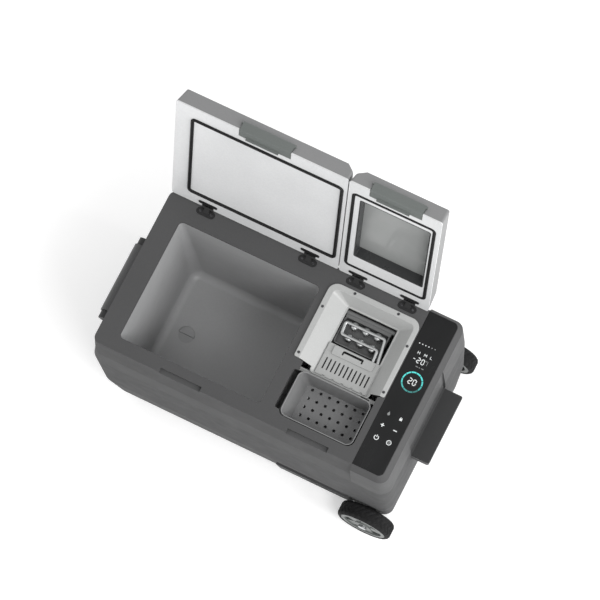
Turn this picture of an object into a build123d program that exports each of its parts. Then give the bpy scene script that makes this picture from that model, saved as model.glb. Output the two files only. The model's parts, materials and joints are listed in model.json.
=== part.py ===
from build123d import *
import os
from math import cos, radians, sin

os.makedirs("parts", exist_ok=True)

# ---------------------------------------------------------------------------
# Frame: millimetres, +Z up, +X towards the control panel, -Y is the front.
# Both lids stand open, leaning back on their stop.
# The drawing's origin is on the floor under the middle of the body. The saved pieces
# are moved forward, so that the row's origin is under the middle of the whole object
# with its lids open.
# ---------------------------------------------------------------------------
ORIGIN_SHIFT_Y = -38.5

# Body heights above the floor
BASE_Z = 30.0  # underside of the body
MID_Z = 158.0  # the walls draw in more strongly below this
WIDEST_Z = 317.0  # lower edge of the shoulder belt
SKIRT_Z = 358.0  # upper edge of the belt, lower edge of the deck skirt
STRIP_SKIRT_Z = 406.0  # the same edge around the control strip
DECK_Z = 428.0  # top of the deck
DECK_T = 5.0
DECK_UNDER_Z = DECK_Z - DECK_T

# Body outlines: half length, half depth, corner radius
BASE = (320.0, 166.0, 21.0)
WIDEST = (337.0, 187.0, 26.0)
MID = (332.5, 183.5, 25.0)
SKIRT = (331.0, 181.5, 20.0)
STRIP = (334.0, 184.5, 20.0)
DECK = (325.0, 175.5, 14.0)
BELT_INNER = (328.0, 178.0, 18.0)
DECK_INNER = (321.0, 171.5, 12.0)
WALL = 3.0
STRIP_X = 257.0  # the control strip starts here

# Fridge cabin
CABIN_X = (-279.5, 38.0)
CABIN_Y = (-146.0, 124.0)
CABIN_FLOOR_Z = 125.0
CABIN_DRAFT = 10.0
LINER_T = 2.5
DRAIN = (-219.0, -20.5)
FOAM_END_X = 56.0

# Ice compartment
WELL_X = (62.5, 253.0)
WELL_Y = (-151.5, 144.5)
WELL_FLOOR_Z = 257.5
MOUTH_X = (76.0, 243.0)
MOUTH_Y = (-148.0, 138.0)
FRAME_X = (54.0, 256.0)
FRAME_Y = (-27.0, 146.0)
FUNNEL_TOP_Z = 430.0
FUNNEL_LOW_Z = 402.0
TRAY_AXIS = (110.0, 390.0)  # Y and Z of the tray's spindle
BASKET_X = (79.0, 240.0)
BASKET_Y = (-146.0, -45.0)
BASKET_TOP_Z = 424.0
BASKET_FLOOR_Z = 338.0

# Lids. They are drawn on a plane through the hinge line: local x is X, local y runs
# away from the lid's front edge, and local z points out of the lid.
HINGE_Y = 170.6
HINGE_Z = 432.5
OPEN_DEG = 103.4
LID_REAR = 2.3
LID_FRONT = -362.7
LID_IN = 1.0  # inner face
LID_OUT = 44.0  # outer face
PANEL_T = 3.0
LEFT_LID_X = (-323.0, 53.0)
RIGHT_LID_X = (55.5, 255.5)
HINGE_XS = (-241.0, -10.0, 98.0, 213.5)
LID_PLANE = Plane(
    origin=(0, HINGE_Y, HINGE_Z),
    x_dir=(1, 0, 0),
    z_dir=(0, sin(radians(OPEN_DEG)), cos(radians(OPEN_DEG))),
)
PIN_R = 1.5
RUN = 0.05  # radial running clearance
GAP = 0.3  # air between pieces that pass each other

# Handles
GRIP_Z = 262.0
GRIP_X = -359.5
GRIP_HALF = 77.5

# Wheels
WHEEL_X = 283.0
WHEEL_Z = 60.0
WHEEL_R = 60.0
WHEEL_Y = (180.0, 213.0)
AXLE_R = 5.0


def save(piece, label):
    """Move the finished piece into the row frame, name it and write its STEP file."""
    solid = Pos(0, ORIGIN_SHIFT_Y, 0) * piece.part
    solid.label = label
    export_step(solid, f"parts/{label}.step")


def rounded(outline, grow=0.0):
    """The body outline as a rounded rectangle, grown or shrunk all round."""
    half_x, half_y, radius = outline
    RectangleRounded(2 * (half_x + grow), 2 * (half_y + grow), max(radius + grow, 1.0))


def block(x, y, radius=0.0, mode=Mode.ADD):
    """A rectangle between two X and two Y values."""
    with Locations(((x[0] + x[1]) / 2, (y[0] + y[1]) / 2)):
        if radius > 0:
            RectangleRounded(x[1] - x[0], y[1] - y[0], radius, mode=mode)
        else:
            Rectangle(x[1] - x[0], y[1] - y[0], mode=mode)


def solid_loft(low_z, low, high_z, high, grow=0.0):
    """A drafted body form between two outlines, as a finished solid."""
    with BuildPart() as form:
        with BuildSketch(Plane.XY.offset(low_z)):
            rounded(low, grow)
        with BuildSketch(Plane.XY.offset(high_z)):
            rounded(high, grow)
        loft()
    return form.part


def lower_form(grow=0.0, low_z=BASE_Z, high_z=WIDEST_Z):
    """The lower body's form, narrowing towards its base, as a finished solid."""
    with BuildPart() as form:
        add(solid_loft(low_z, BASE, MID_Z, MID, grow))
        add(solid_loft(MID_Z, MID, high_z, WIDEST, grow))
    return form.part


def box_between(x, y, z):
    """A plain box between two corners, as a finished solid."""
    with BuildPart() as form:
        with BuildSketch(Plane.XY.offset(z[0])):
            block(x, y)
        extrude(amount=z[1] - z[0])
    return form.part


def cylinder_y(x, z, y0, y1, radius):
    """A plain cylinder along Y, as a finished solid."""
    with BuildPart() as form:
        with BuildSketch(Plane(origin=(x, y0, z), x_dir=(1, 0, 0), z_dir=(0, 1, 0))):
            Circle(radius)
        extrude(amount=y1 - y0)
    return form.part


# ---------------------------------------------------------------------------
# Body shell, belt, deck and control strip
# ---------------------------------------------------------------------------
LOWER_FORM = lower_form()
LOWER_HOLLOW = lower_form(-WALL, BASE_Z + WALL, WIDEST_Z + 0.01)
SCOOP_X = 331.8  # flat behind the fixed handle
SCOOP_Y = 78.5
SCOOP = box_between((SCOOP_X, 345), (-SCOOP_Y, SCOOP_Y), (278.3, STRIP_SKIRT_Z - 2))
REAR_VENT = ((100.0, 230.0), (65.0, 185.0))
INLET = ((248.0, 298.0), (196.0, 240.0))


def rear_window(span, grow=0.0):
    """A box that cuts the rear wall between the given X and Z values."""
    x, z = span
    return box_between((x[0] - grow, x[1] + grow), (150, 200), (z[0] - grow, z[1] + grow))


with BuildPart() as body_shell:
    add(LOWER_FORM)
    add(LOWER_HOLLOW, mode=Mode.SUBTRACT)
    add(box_between((325, 335), (-84, 84), (266, WIDEST_Z)) & LOWER_FORM)
    add(SCOOP, mode=Mode.SUBTRACT)
    add(rear_window(REAR_VENT, GAP), mode=Mode.SUBTRACT)
    add(rear_window(INLET, GAP), mode=Mode.SUBTRACT)
    add(cylinder_y(WHEEL_X, WHEEL_Z, -190, 190, AXLE_R + 0.5), mode=Mode.SUBTRACT)
    with BuildSketch(Plane.XY.offset(BASE_Z)):
        with Locations(DRAIN):
            Circle(8.0)
    extrude(amount=WALL + 1, mode=Mode.SUBTRACT)
save(body_shell, "body_shell")

belt_main = split(solid_loft(WIDEST_Z, WIDEST, SKIRT_Z, SKIRT), Plane.YZ.offset(STRIP_X), keep=Keep.BOTTOM)
belt_strip = split(
    solid_loft(WIDEST_Z, WIDEST, STRIP_SKIRT_Z, STRIP), Plane.YZ.offset(STRIP_X), keep=Keep.TOP
)
with BuildPart() as shoulder_belt:
    add(belt_main)
    add(belt_strip)
    with BuildSketch(Plane.XY.offset(WIDEST_Z)):
        rounded(BELT_INNER)
    extrude(amount=STRIP_SKIRT_Z - WIDEST_Z, mode=Mode.SUBTRACT)
    add(SCOOP, mode=Mode.SUBTRACT)
save(shoulder_belt, "shoulder_belt")

LATCH_XS = (-128.3, 156.4)  # middle of each lid's latch
CATCH_HALF = 46.0
CATCH_FLOOR_Z = 421.0
CATCH_REAR_Y = -166.0
deck_form = solid_loft(SKIRT_Z, SKIRT, DECK_Z, DECK)
with BuildPart() as deck_frame:
    add(split(deck_form, Plane.YZ.offset(STRIP_X), keep=Keep.BOTTOM))
    with BuildSketch(Plane.XY.offset(SKIRT_Z)):
        rounded(DECK_INNER)
    extrude(amount=DECK_UNDER_Z - SKIRT_Z, mode=Mode.SUBTRACT)
    with BuildSketch(Plane.XY.offset(DECK_UNDER_Z)) as mouths:
        block(CABIN_X, CABIN_Y, 10)
        block(MOUTH_X, MOUTH_Y, 16)
        block((64, 250), (-30, 138), 8)
        block((66, 90), (-138, -50), 5)
    extrude(amount=DECK_T, mode=Mode.SUBTRACT)
    with BuildSketch(Plane.XY.offset(DECK_Z - 4)) as hinge_recesses:
        with Locations(*[(x, 161.0) for x in HINGE_XS]):
            SlotOverall(41, 16)
    extrude(amount=4, mode=Mode.SUBTRACT)
    # recess for each latch's lip in the front edge, with its own floor and rear wall
    for x in LATCH_XS:
        around = (x - CATCH_HALF - 2, x + CATCH_HALF + 2)
        inside = (x - CATCH_HALF, x + CATCH_HALF)
        add(box_between(around, (-DECK_INNER[1] - 0.5, CATCH_REAR_Y + 2), (CATCH_FLOOR_Z - 1.2, DECK_Z - 1)))
        add(box_between(inside, (-190, CATCH_REAR_Y), (CATCH_FLOOR_Z, DECK_Z + 5)), mode=Mode.SUBTRACT)
save(deck_frame, "deck_frame")

GLASS_T = 3.0
with BuildPart() as control_housing:
    add(split(solid_loft(STRIP_SKIRT_Z, STRIP, DECK_Z, DECK), Plane.YZ.offset(STRIP_X), keep=Keep.TOP))
    with BuildSketch(Plane.XY.offset(STRIP_SKIRT_Z)):
        block((STRIP_X + 3, 320), (-170, 170), 10)
    extrude(amount=DECK_UNDER_Z - STRIP_SKIRT_Z - 1, mode=Mode.SUBTRACT)
    with BuildSketch(Plane.XY.offset(DECK_Z - GLASS_T + 0.4)):
        block((STRIP_X - 19.2, 323.8), (-174.3, 174.3), 11)
        block((STRIP_X + 0.8, 330), (-180, 180), mode=Mode.INTERSECT)
    extrude(amount=GLASS_T, mode=Mode.SUBTRACT)
save(control_housing, "control_housing")

with BuildPart() as control_glass:
    with BuildSketch(Plane.XY.offset(DECK_Z - GLASS_T + 0.4)):
        block((STRIP_X - 19.0, 323.6), (-174.1, 174.1), 10.8)
        block((STRIP_X + 1.0, 330), (-180, 180), mode=Mode.INTERSECT)
    extrude(amount=GLASS_T)
    fillet(control_glass.faces().sort_by(Axis.Z)[-1].edges(), 0.8)
save(control_glass, "control_glass")

with BuildPart() as display_board:
    with BuildSketch(Plane.XY.offset(414)):
        block((266, 314), (-125, 125), 3)
    extrude(amount=1.6)
    with BuildSketch(Plane.XY.offset(415.6)):
        with Locations((290, 60)):
            Rectangle(40, 100)
        with Locations((278, -50), (304, -50), (278, -77), (304, -77), (278, -105), (304, -105)):
            Circle(6)
    extrude(amount=2.4)
    with BuildSketch(Plane.XY.offset(415.6)):
        with Locations((270, -121), (310, -121), (270, 121), (310, 121)):
            Circle(3)
    extrude(amount=DECK_UNDER_Z - 1 - 415.6)
save(display_board, "display_board")

# ---------------------------------------------------------------------------
# Fridge cabin: liner, evaporator sleeve, foam, drain
# ---------------------------------------------------------------------------
CABIN_C = ((CABIN_X[0] + CABIN_X[1]) / 2, (CABIN_Y[0] + CABIN_Y[1]) / 2)
CABIN_W = CABIN_X[1] - CABIN_X[0]
CABIN_D = CABIN_Y[1] - CABIN_Y[0]
CABIN_DEPTH = DECK_UNDER_Z - CABIN_FLOOR_Z


def cabin_solid(z0, z1, grow, floor_r=0.0):
    """A closed block that follows the cabin's drafted walls."""
    with BuildPart() as form:
        for z in (z0, z1):
            t = (DECK_UNDER_Z - z) / CABIN_DEPTH
            with BuildSketch(Plane.XY.offset(z)):
                with Locations(CABIN_C):
                    RectangleRounded(
                        CABIN_W - 2 * CABIN_DRAFT * t + 2 * grow,
                        CABIN_D - 2 * CABIN_DRAFT * t + 2 * grow,
                        10 + 16 * t + grow,
                    )
        loft()
        if floor_r > 0:
            fillet(form.faces().sort_by(Axis.Z)[0].edges(), floor_r)
    return form.part


CUP_Z = CABIN_FLOOR_Z - 25
FLOOR_EDGE_R = 18.0
PLUG_R = 17.5
STEM_R = 10.0
with BuildPart() as cabin_liner:
    add(cabin_solid(CABIN_FLOOR_Z - LINER_T, DECK_UNDER_Z, LINER_T, FLOOR_EDGE_R + LINER_T))
    with BuildSketch(Plane.XY.offset(DECK_UNDER_Z - 3)):
        with Locations(CABIN_C):
            RectangleRounded(CABIN_W + 24, CABIN_D + 24, 22)
    extrude(amount=3)
    with BuildSketch(Plane.XY.offset(CUP_Z)):
        with Locations(DRAIN):
            Circle(PLUG_R + 3)
    extrude(amount=CABIN_FLOOR_Z - CUP_Z - LINER_T)
    add(cabin_solid(CABIN_FLOOR_Z, DECK_UNDER_Z, 0, FLOOR_EDGE_R), mode=Mode.SUBTRACT)
    with BuildSketch(Plane.XY.offset(CABIN_FLOOR_Z - 5)):
        with Locations(DRAIN):
            Circle(PLUG_R + RUN)
    extrude(amount=6, mode=Mode.SUBTRACT)
    with BuildSketch(Plane.XY.offset(CUP_Z + 3)):
        with Locations(DRAIN):
            Circle(STEM_R + RUN)
    extrude(amount=25, mode=Mode.SUBTRACT)
    with BuildSketch(Plane.XY.offset(CUP_Z - 1)):
        with Locations(DRAIN):
            Circle(7.0)
    extrude(amount=6, mode=Mode.SUBTRACT)
save(cabin_liner, "cabin_liner")

with BuildPart() as drain_plug:
    with BuildSketch(Plane.XY.offset(CABIN_FLOOR_Z - 4.7)):
        with Locations(DRAIN):
            Circle(PLUG_R)
    extrude(amount=4.7)
    with BuildSketch(Plane.XY.offset(CUP_Z + 8)):
        with Locations(DRAIN):
            Circle(STEM_R)
    extrude(amount=CABIN_FLOOR_Z - 4.7 - CUP_Z - 8)
    # raised half disc to turn it by
    with BuildSketch(Plane.XY.offset(CABIN_FLOOR_Z)):
        with Locations(DRAIN):
            Circle(PLUG_R)
        with Locations((DRAIN[0], DRAIN[1] + PLUG_R / 2)):
            Rectangle(2 * PLUG_R, PLUG_R, mode=Mode.INTERSECT)
    extrude(amount=4.0)
    fillet(drain_plug.faces().sort_by(Axis.Z)[-1].edges(), 0.8)
save(drain_plug, "drain_plug")

with BuildPart() as drain_pipe:
    with BuildSketch(Plane.XY.offset(22)):
        with Locations(DRAIN):
            Circle(7.0)
            Circle(5.0, mode=Mode.SUBTRACT)
    extrude(amount=CUP_Z + 3 - 22)
    with BuildSketch(Plane.XY.offset(BASE_Z - 3)):
        with Locations(DRAIN):
            Circle(12)
            Circle(7.0, mode=Mode.SUBTRACT)
    extrude(amount=3)
save(drain_pipe, "drain_pipe")

SLEEVE_Z = (150.0, 330.0)
with BuildPart() as cabin_evaporator:
    add(cabin_solid(SLEEVE_Z[0], SLEEVE_Z[1], LINER_T + 1.4))
    add(cabin_solid(SLEEVE_Z[0], SLEEVE_Z[1], LINER_T + 0.1), mode=Mode.SUBTRACT)
save(cabin_evaporator, "cabin_evaporator")

with BuildPart() as cabin_foam:
    add(lower_form(-WALL - 1.2, BASE_Z + WALL + 1, WIDEST_Z - 0.5))
    with BuildSketch(Plane.XY.offset(WIDEST_Z - 20)):
        rounded(DECK_INNER, -0.5)
    extrude(amount=DECK_UNDER_Z - 3.5 - WIDEST_Z + 20)
    split(bisect_by=Plane.YZ.offset(FOAM_END_X), keep=Keep.BOTTOM)
    add(cabin_solid(CABIN_FLOOR_Z - LINER_T, DECK_UNDER_Z, LINER_T + 1.8), mode=Mode.SUBTRACT)
    with BuildSketch(Plane.XY.offset(BASE_Z)):
        with Locations(DRAIN):
            Circle(PLUG_R + 4)
    extrude(amount=CABIN_FLOOR_Z - BASE_Z, mode=Mode.SUBTRACT)
save(cabin_foam, "cabin_foam")

# ---------------------------------------------------------------------------
# Ice compartment: well, top frame, grille, tray, evaporator, basket
# ---------------------------------------------------------------------------
RAIL_Z = (BASKET_FLOOR_Z - 8, BASKET_FLOOR_Z - 0.2)
with BuildPart() as ice_well:
    with BuildSketch(Plane.XY.offset(WELL_FLOOR_Z - 2.5)):
        block((WELL_X[0] - 2.5, WELL_X[1] + 2.5), (WELL_Y[0] - 2.5, WELL_Y[1] + 2.5), 16)
    extrude(amount=DECK_UNDER_Z - WELL_FLOOR_Z + 2.5)
    with BuildSketch(Plane.XY.offset(WELL_FLOOR_Z)):
        block(WELL_X, WELL_Y, 14)
    extrude(amount=DECK_UNDER_Z - WELL_FLOOR_Z, mode=Mode.SUBTRACT)
    with BuildSketch(Plane.XY.offset(RAIL_Z[0])):
        for x in ((WELL_X[0] - 1, 104), (222, WELL_X[1] + 1)):
            block(x, (-130, -60))
    extrude(amount=RAIL_Z[1] - RAIL_Z[0])
save(ice_well, "ice_well")

FUNNEL_TOP = ((66.0, 246.0), (-40.0, 134.0))
FUNNEL_LOW = ((101.0, 217.0), (-36.0, 119.0))


def funnel_solid(z0, z1, grow):
    """The sloped hopper of the ice maker as a closed block."""
    with BuildPart() as form:
        with BuildSketch(Plane.XY.offset(z0)):
            block(*[(s[0] - grow, s[1] + grow) for s in FUNNEL_LOW], 4 + grow)
        with BuildSketch(Plane.XY.offset(z1)):
            block(*[(s[0] - grow, s[1] + grow) for s in FUNNEL_TOP], 12 + grow)
        loft()
    return form.part


FLANGE_T = 3.0
FRAME_SCREWS = ((60.3, 88.7), (60.3, -17.1), (107.3, 140.5), (204.9, 140.5), (250.0, 88.3), (250.0, -17.1))
with BuildPart() as ice_frame:
    with BuildSketch(Plane.XY.offset(DECK_Z + 0.1)):
        block(FRAME_X, FRAME_Y, 21)
        block(FRAME_X, (FRAME_Y[0], FRAME_Y[1] - 60), 4)
    extrude(amount=FLANGE_T)
    fillet(ice_frame.faces().sort_by(Axis.Z)[-1].edges(), 1.2)
    add(funnel_solid(FUNNEL_LOW_Z, FUNNEL_TOP_Z, 1.8))
    with BuildSketch(Plane.XY.offset(FUNNEL_LOW_Z - 5)):
        block((98, 220), (-42, 122), 5)
    extrude(amount=6)
    add(funnel_solid(FUNNEL_LOW_Z, DECK_Z + FLANGE_T + 0.1, 0), mode=Mode.SUBTRACT)
    with BuildSketch(Plane.XY.offset(FUNNEL_LOW_Z - 6)):
        block((104, 214), (-30, 116), 2)
    extrude(amount=12, mode=Mode.SUBTRACT)
    add(box_between((50, 260), (-60, FRAME_Y[0]), (FUNNEL_LOW_Z + 6, 440)), mode=Mode.SUBTRACT)
    # front rail, and the shelf the tray motor hangs from
    add(box_between((73, 244), (-44, -36), (FUNNEL_LOW_Z - 5, FUNNEL_LOW_Z + 2)))
    add(box_between((208, 228), (-41.5, -38.5), (FUNNEL_LOW_Z - 6, FUNNEL_LOW_Z + 6)), mode=Mode.SUBTRACT)
    add(box_between((214, 246), (88, 122), (FUNNEL_LOW_Z - 1.8, FUNNEL_LOW_Z + 1)))
    # bearing arm for the tray's spindle, on the left
    with BuildSketch(Plane.YZ.offset(93)):
        with Locations((TRAY_AXIS[0], TRAY_AXIS[1])):
            Circle(8)
        block((TRAY_AXIS[0] - 8, TRAY_AXIS[0] + 8), (TRAY_AXIS[1], FUNNEL_LOW_Z + 2))
    extrude(amount=6)
    with BuildSketch(Plane.YZ.offset(92)):
        with Locations((TRAY_AXIS[0], TRAY_AXIS[1])):
            Circle(3 + RUN)
    extrude(amount=8, mode=Mode.SUBTRACT)
    with BuildSketch(Plane.XY.offset(DECK_Z)):
        with Locations(*FRAME_SCREWS):
            Circle(1.8)
    extrude(amount=6, mode=Mode.SUBTRACT)
save(ice_frame, "ice_frame")

with BuildPart() as frame_screws:
    with BuildSketch(Plane.XY.offset(DECK_Z + FLANGE_T + 0.1)):
        with Locations(*FRAME_SCREWS):
            Circle(3.0)
    extrude(amount=1.2)
    with BuildSketch(Plane.XY.offset(DECK_Z + 0.1)):
        with Locations(*FRAME_SCREWS):
            Circle(1.75)
    extrude(amount=FLANGE_T)
save(frame_screws, "frame_screws")

SLOTS = 11
SLOT_PITCH = 9.4
with BuildPart() as ice_grille:
    with BuildSketch(Plane.XY.offset(FUNNEL_LOW_Z + 1)):
        block((102.5, 215.5), (-34.5, 35), 2)
    extrude(amount=2.2)
    with BuildSketch(Plane.XY.offset(FUNNEL_LOW_Z + 3.2)):
        block((116, 206), (14, 33), 3)
    extrude(amount=3.5)
    with BuildSketch(Plane.XY.offset(FUNNEL_LOW_Z)):
        with Locations((159.5, -8.2)):
            with GridLocations(SLOT_PITCH, 1, SLOTS, 1):
                RectangleRounded(3.0, 25.5, 1.4)
        block((137, 181), (25, 30), 1.5)
        block((136, 139.5), (20, 29), 1)
        block((178.5, 182), (20, 29), 1)
        for i in range(5):
            block((118 + 21 * i, 124 + 21 * i), (-36, -32))
    extrude(amount=9, mode=Mode.SUBTRACT)
save(ice_grille, "ice_grille")

TRAY_X = (105.0, 205.0)
TRAY_Y = (41.0, 114.0)
TRAY_Z = (372.0, 392.0)
MOTOR_X = 221.0
with BuildPart() as ice_tray:
    with BuildSketch(Plane.XY.offset(TRAY_Z[0])):
        block(TRAY_X, (TRAY_Y[0], 101), 6)
    extrude(amount=TRAY_Z[1] - TRAY_Z[0])
    with BuildSketch(Plane.XY.offset(TRAY_Z[0] + 2)):
        block((TRAY_X[0] + 2, TRAY_X[1] - 2), (TRAY_Y[0] + 2, 99), 4)
    extrude(amount=TRAY_Z[1] - TRAY_Z[0], mode=Mode.SUBTRACT)
    with BuildSketch(Plane.YZ.offset(99.5)):
        with Locations((TRAY_AXIS[0], TRAY_AXIS[1])):
            Circle(5)
    extrude(amount=TRAY_X[1] + 6 - 99.5)
    with BuildSketch(Plane.YZ.offset(TRAY_X[0])):
        block((99.5, TRAY_AXIS[0]), (TRAY_AXIS[1] - 3, TRAY_AXIS[1] + 1.5))
    extrude(amount=TRAY_X[1] - TRAY_X[0])
    add(box_between(TRAY_X, (99.5, 114), (TRAY_Z[1] - 2, TRAY_Z[1])))
    with BuildSketch(Plane.YZ.offset(93.5)):
        with Locations((TRAY_AXIS[0], TRAY_AXIS[1])):
            Circle(3)
    extrude(amount=MOTOR_X + 6 - 93.5)
save(ice_tray, "ice_tray")

with BuildPart() as tray_motor:
    with BuildSketch(Plane.XY.offset(374)):
        block((MOTOR_X, 246), (88, 132), 4)
    extrude(amount=26)
    with BuildSketch(Plane.YZ.offset(MOTOR_X - 4)):
        with Locations((TRAY_AXIS[0], TRAY_AXIS[1])):
            Circle(6.5)
    extrude(amount=4)
    with BuildSketch(Plane.YZ.offset(MOTOR_X - 5)):
        with Locations((TRAY_AXIS[0], TRAY_AXIS[1])):
            Circle(3 + RUN)
    extrude(amount=12, mode=Mode.SUBTRACT)
save(tray_motor, "tray_motor")

FINGER_XS = (131.0, 157.0, 183.0)
FINGER_YS = (84.0, 57.0)
FINGER_R = 9.5
FINGER_Z = 376.0
TUBE_R = 3.4
TUBE_Z = 399.0
with BuildPart() as finger_evaporator:
    with BuildLine() as coil:
        FilletPolyline(
            (252, 34, 372),
            (209, 34, 372),
            (209, 34, TUBE_Z),
            (200, 88, TUBE_Z),
            (112, 88, TUBE_Z),
            (115, 61, TUBE_Z),
            (196, 61, TUBE_Z),
            (199, 22, TUBE_Z),
            (199, 22, 384),
            (252, 22, 384),
            radius=5,
        )
    with BuildSketch(Plane(origin=coil.line @ 0, z_dir=coil.line % 0)):
        Circle(TUBE_R)
    sweep()
    for x in FINGER_XS:
        for y in FINGER_YS:
            with BuildSketch(Plane(origin=(x, y + 4, FINGER_Z), x_dir=(1, 0, 0), z_dir=(0, -1, 0))):
                with Locations((FINGER_R / 2, 11.5)):
                    Rectangle(FINGER_R, 4)
                with Locations((0, FINGER_R)):
                    Circle(FINGER_R)
                with Locations((0, 13.5)):
                    Circle(FINGER_R)
                with Locations((-15, 15)):
                    Rectangle(30, 60, mode=Mode.SUBTRACT)
            revolve(axis=Axis((x, y + 4, 0), (0, 0, 1)))
save(finger_evaporator, "finger_evaporator")

with BuildPart() as water_reservoir:
    with BuildSketch(Plane.XY.offset(WELL_FLOOR_Z + 0.1)):
        block((68, 205), (-20, 140), 8)
    extrude(amount=46)
    with BuildSketch(Plane.XY.offset(WELL_FLOOR_Z + 2.6)):
        block((70.5, 202.5), (-17.5, 137.5), 6)
    extrude(amount=60, mode=Mode.SUBTRACT)
save(water_reservoir, "water_reservoir")

with BuildPart() as water_pump:
    with BuildSketch(Plane.XY.offset(WELL_FLOOR_Z + 0.1)):
        with Locations((228, 100)):
            Circle(17)
    extrude(amount=34)
    with BuildSketch(Plane.XY.offset(WELL_FLOOR_Z + 34)):
        with Locations((228, 100)):
            Circle(12)
    extrude(amount=10)
    with BuildSketch(Plane.XY.offset(WELL_FLOOR_Z + 44)):
        with Locations((236, 100)):
            Circle(3.5)
    extrude(amount=60)
save(water_pump, "water_pump")

BASKET_FLOOR = ((93.0, 232.0), (-128.0, -49.0))


def basket_solid(z0, z1, grow):
    """The basket's sloped form as a closed block."""
    with BuildPart() as form:
        with BuildSketch(Plane.XY.offset(z0)):
            block(*[(s[0] - grow, s[1] + grow) for s in BASKET_FLOOR], 8 + grow)
        with BuildSketch(Plane.XY.offset(z1)):
            block((BASKET_X[0] + 2 - grow, BASKET_X[1] - 2 + grow),
                  (BASKET_Y[0] + 2 - grow, BASKET_Y[1] - 2 + grow), 13 + grow)
        loft()
    return form.part


with BuildPart() as ice_basket:
    add(basket_solid(BASKET_FLOOR_Z, BASKET_TOP_Z, 2.0))
    add(basket_solid(BASKET_FLOOR_Z + 2, BASKET_TOP_Z, 0.0), mode=Mode.SUBTRACT)
    with BuildSketch(Plane.XY.offset(BASKET_FLOOR_Z)):
        with Locations((162.8, -84.6)):
            with GridLocations(19.1, 19.0, 7, 4):
                Circle(3.2)
    extrude(amount=3, mode=Mode.SUBTRACT)
save(ice_basket, "ice_basket")

# ---------------------------------------------------------------------------
# Lids
# ---------------------------------------------------------------------------
END_DRAFT = 3.0
FRONT_DRAFT = 17.0
REAR_DRAFT = 6.0
LID_WALL = 3.0
LID_EDGE_R = 2.0
INNER_BEVEL = 17.0  # bevel along the edge that faces the other lid
PIVOT = (-359.2, LID_IN + 18.0)  # local y and z of the latch pivots
LATCH_HALF = 56.0
POCKET_REAR = -352.0
SOLE_REAR = -338.6  # rear of the cut-out in the panel that the latch's sole lies in
LID_CORNER_R = 5.0
POCKET_TOP = LID_IN + 26.0
TRUNNION_R = 2.0


def lid_form(x, low, high, shrink, edge=0.0):
    """The lid's drafted form between two levels, as a closed block."""
    with BuildPart() as form:
        for level in (low, high):
            t = (level - LID_IN) / (LID_OUT - LID_IN)
            with BuildSketch(LID_PLANE.offset(level)):
                block(
                    (x[0] + END_DRAFT * t + shrink, x[1] - END_DRAFT * t - shrink),
                    (LID_FRONT + FRONT_DRAFT * t + shrink, LID_REAR - REAR_DRAFT * t - shrink),
                    LID_CORNER_R - min(shrink, 3),
                )
        loft()
        if edge > 0:
            far = form.faces().sort_by(Axis(LID_PLANE.origin, LID_PLANE.z_dir))[-1]
            fillet(far.edges(), edge)
    return form.part


def lid_block(x, y, z, radius=0.0):
    """A box in the lid's own directions, as a finished solid."""
    with BuildPart() as form:
        with BuildSketch(LID_PLANE.offset(z[0])):
            block(x, y, radius)
        extrude(amount=z[1] - z[0])
    return form.part


def lid_rod(x, centre, radius):
    """A cylinder along X at a local y and z of the lid plane."""
    middle = LID_PLANE.from_local_coords((x[0], centre[0], centre[1]))
    with BuildPart() as form:
        with BuildSketch(Plane(origin=middle, x_dir=LID_PLANE.y_dir, z_dir=(1, 0, 0))):
            Circle(radius)
        extrude(amount=x[1] - x[0])
    return form.part


def lid_profile(x, points):
    """A profile of local y and z points, extruded along X."""
    start = LID_PLANE.from_local_coords((x[0], 0, 0))
    with BuildPart() as form:
        with BuildSketch(Plane(origin=start, x_dir=LID_PLANE.y_dir, z_dir=(1, 0, 0))):
            with BuildLine():
                Polyline(*points, close=True)
            make_face()
        extrude(amount=x[1] - x[0])
    return form.part


def bevel_cut(x_edge, side):
    """The wedge taken off the outer edge that faces the other lid."""
    corner = LID_PLANE.from_local_coords((x_edge, LID_FRONT - 20, LID_OUT))
    with BuildPart() as wedge:
        with BuildSketch(Plane(origin=corner, x_dir=(1, 0, 0), z_dir=LID_PLANE.y_dir)):
            with BuildLine():
                Polyline(
                    (side * (END_DRAFT + INNER_BEVEL), 0),
                    (side * (END_DRAFT + INNER_BEVEL), -12),
                    (-side * 12, -12),
                    (-side * 12, INNER_BEVEL),
                    (side * 2, INNER_BEVEL),
                    close=True,
                )
            make_face()
        extrude(amount=LID_REAR - LID_FRONT + 40)
    return wedge.part


def latch_pocket(x, grow):
    """The recess for one latch in the lid's front face."""
    return lid_block(
        (x - LATCH_HALF - 1 - grow, x + LATCH_HALF + 1 + grow),
        (LID_FRONT - 5, POCKET_REAR + grow),
        (LID_IN - 1, POCKET_TOP + grow),
    )


def sole_cut(x):
    """The cut-out in the panel for the latch's sole."""
    return lid_block(
        (x - LATCH_HALF - 1, x + LATCH_HALF + 1), (LID_FRONT - 5, SOLE_REAR), (LID_IN - 1, LID_IN + PANEL_T + 0.1)
    )


def hinge_notches(xs):
    """The cut-outs for the hinge knuckles in the lid's rear edge."""
    cuts = [lid_block((x - 13, x + 13), (-8.7, LID_REAR + 2), (LID_IN - 1, LID_IN + 6.2)) for x in xs]
    return cuts[0] + cuts[1]


def lid_shell_form(x, inner_edge, side, latch_x, hinge_xs):
    """The outer shell of a lid: drafted, hollow, open towards its panel."""
    low = LID_IN + PANEL_T
    outer = lid_form(x, low, LID_OUT, 0, LID_EDGE_R) - bevel_cut(inner_edge, side)
    hollow = lid_form(x, low, LID_OUT - LID_WALL, LID_WALL) - bevel_cut(inner_edge - side * LID_WALL, side)
    shell = outer - hollow
    shell = shell + (latch_pocket(latch_x, 3) & outer) - latch_pocket(latch_x, 0)
    ends = (latch_x - LATCH_HALF - 3.8, latch_x + LATCH_HALF + 3.8)
    return shell - lid_rod(ends, PIVOT, TRUNNION_R + RUN) - hinge_notches(hinge_xs)


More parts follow.
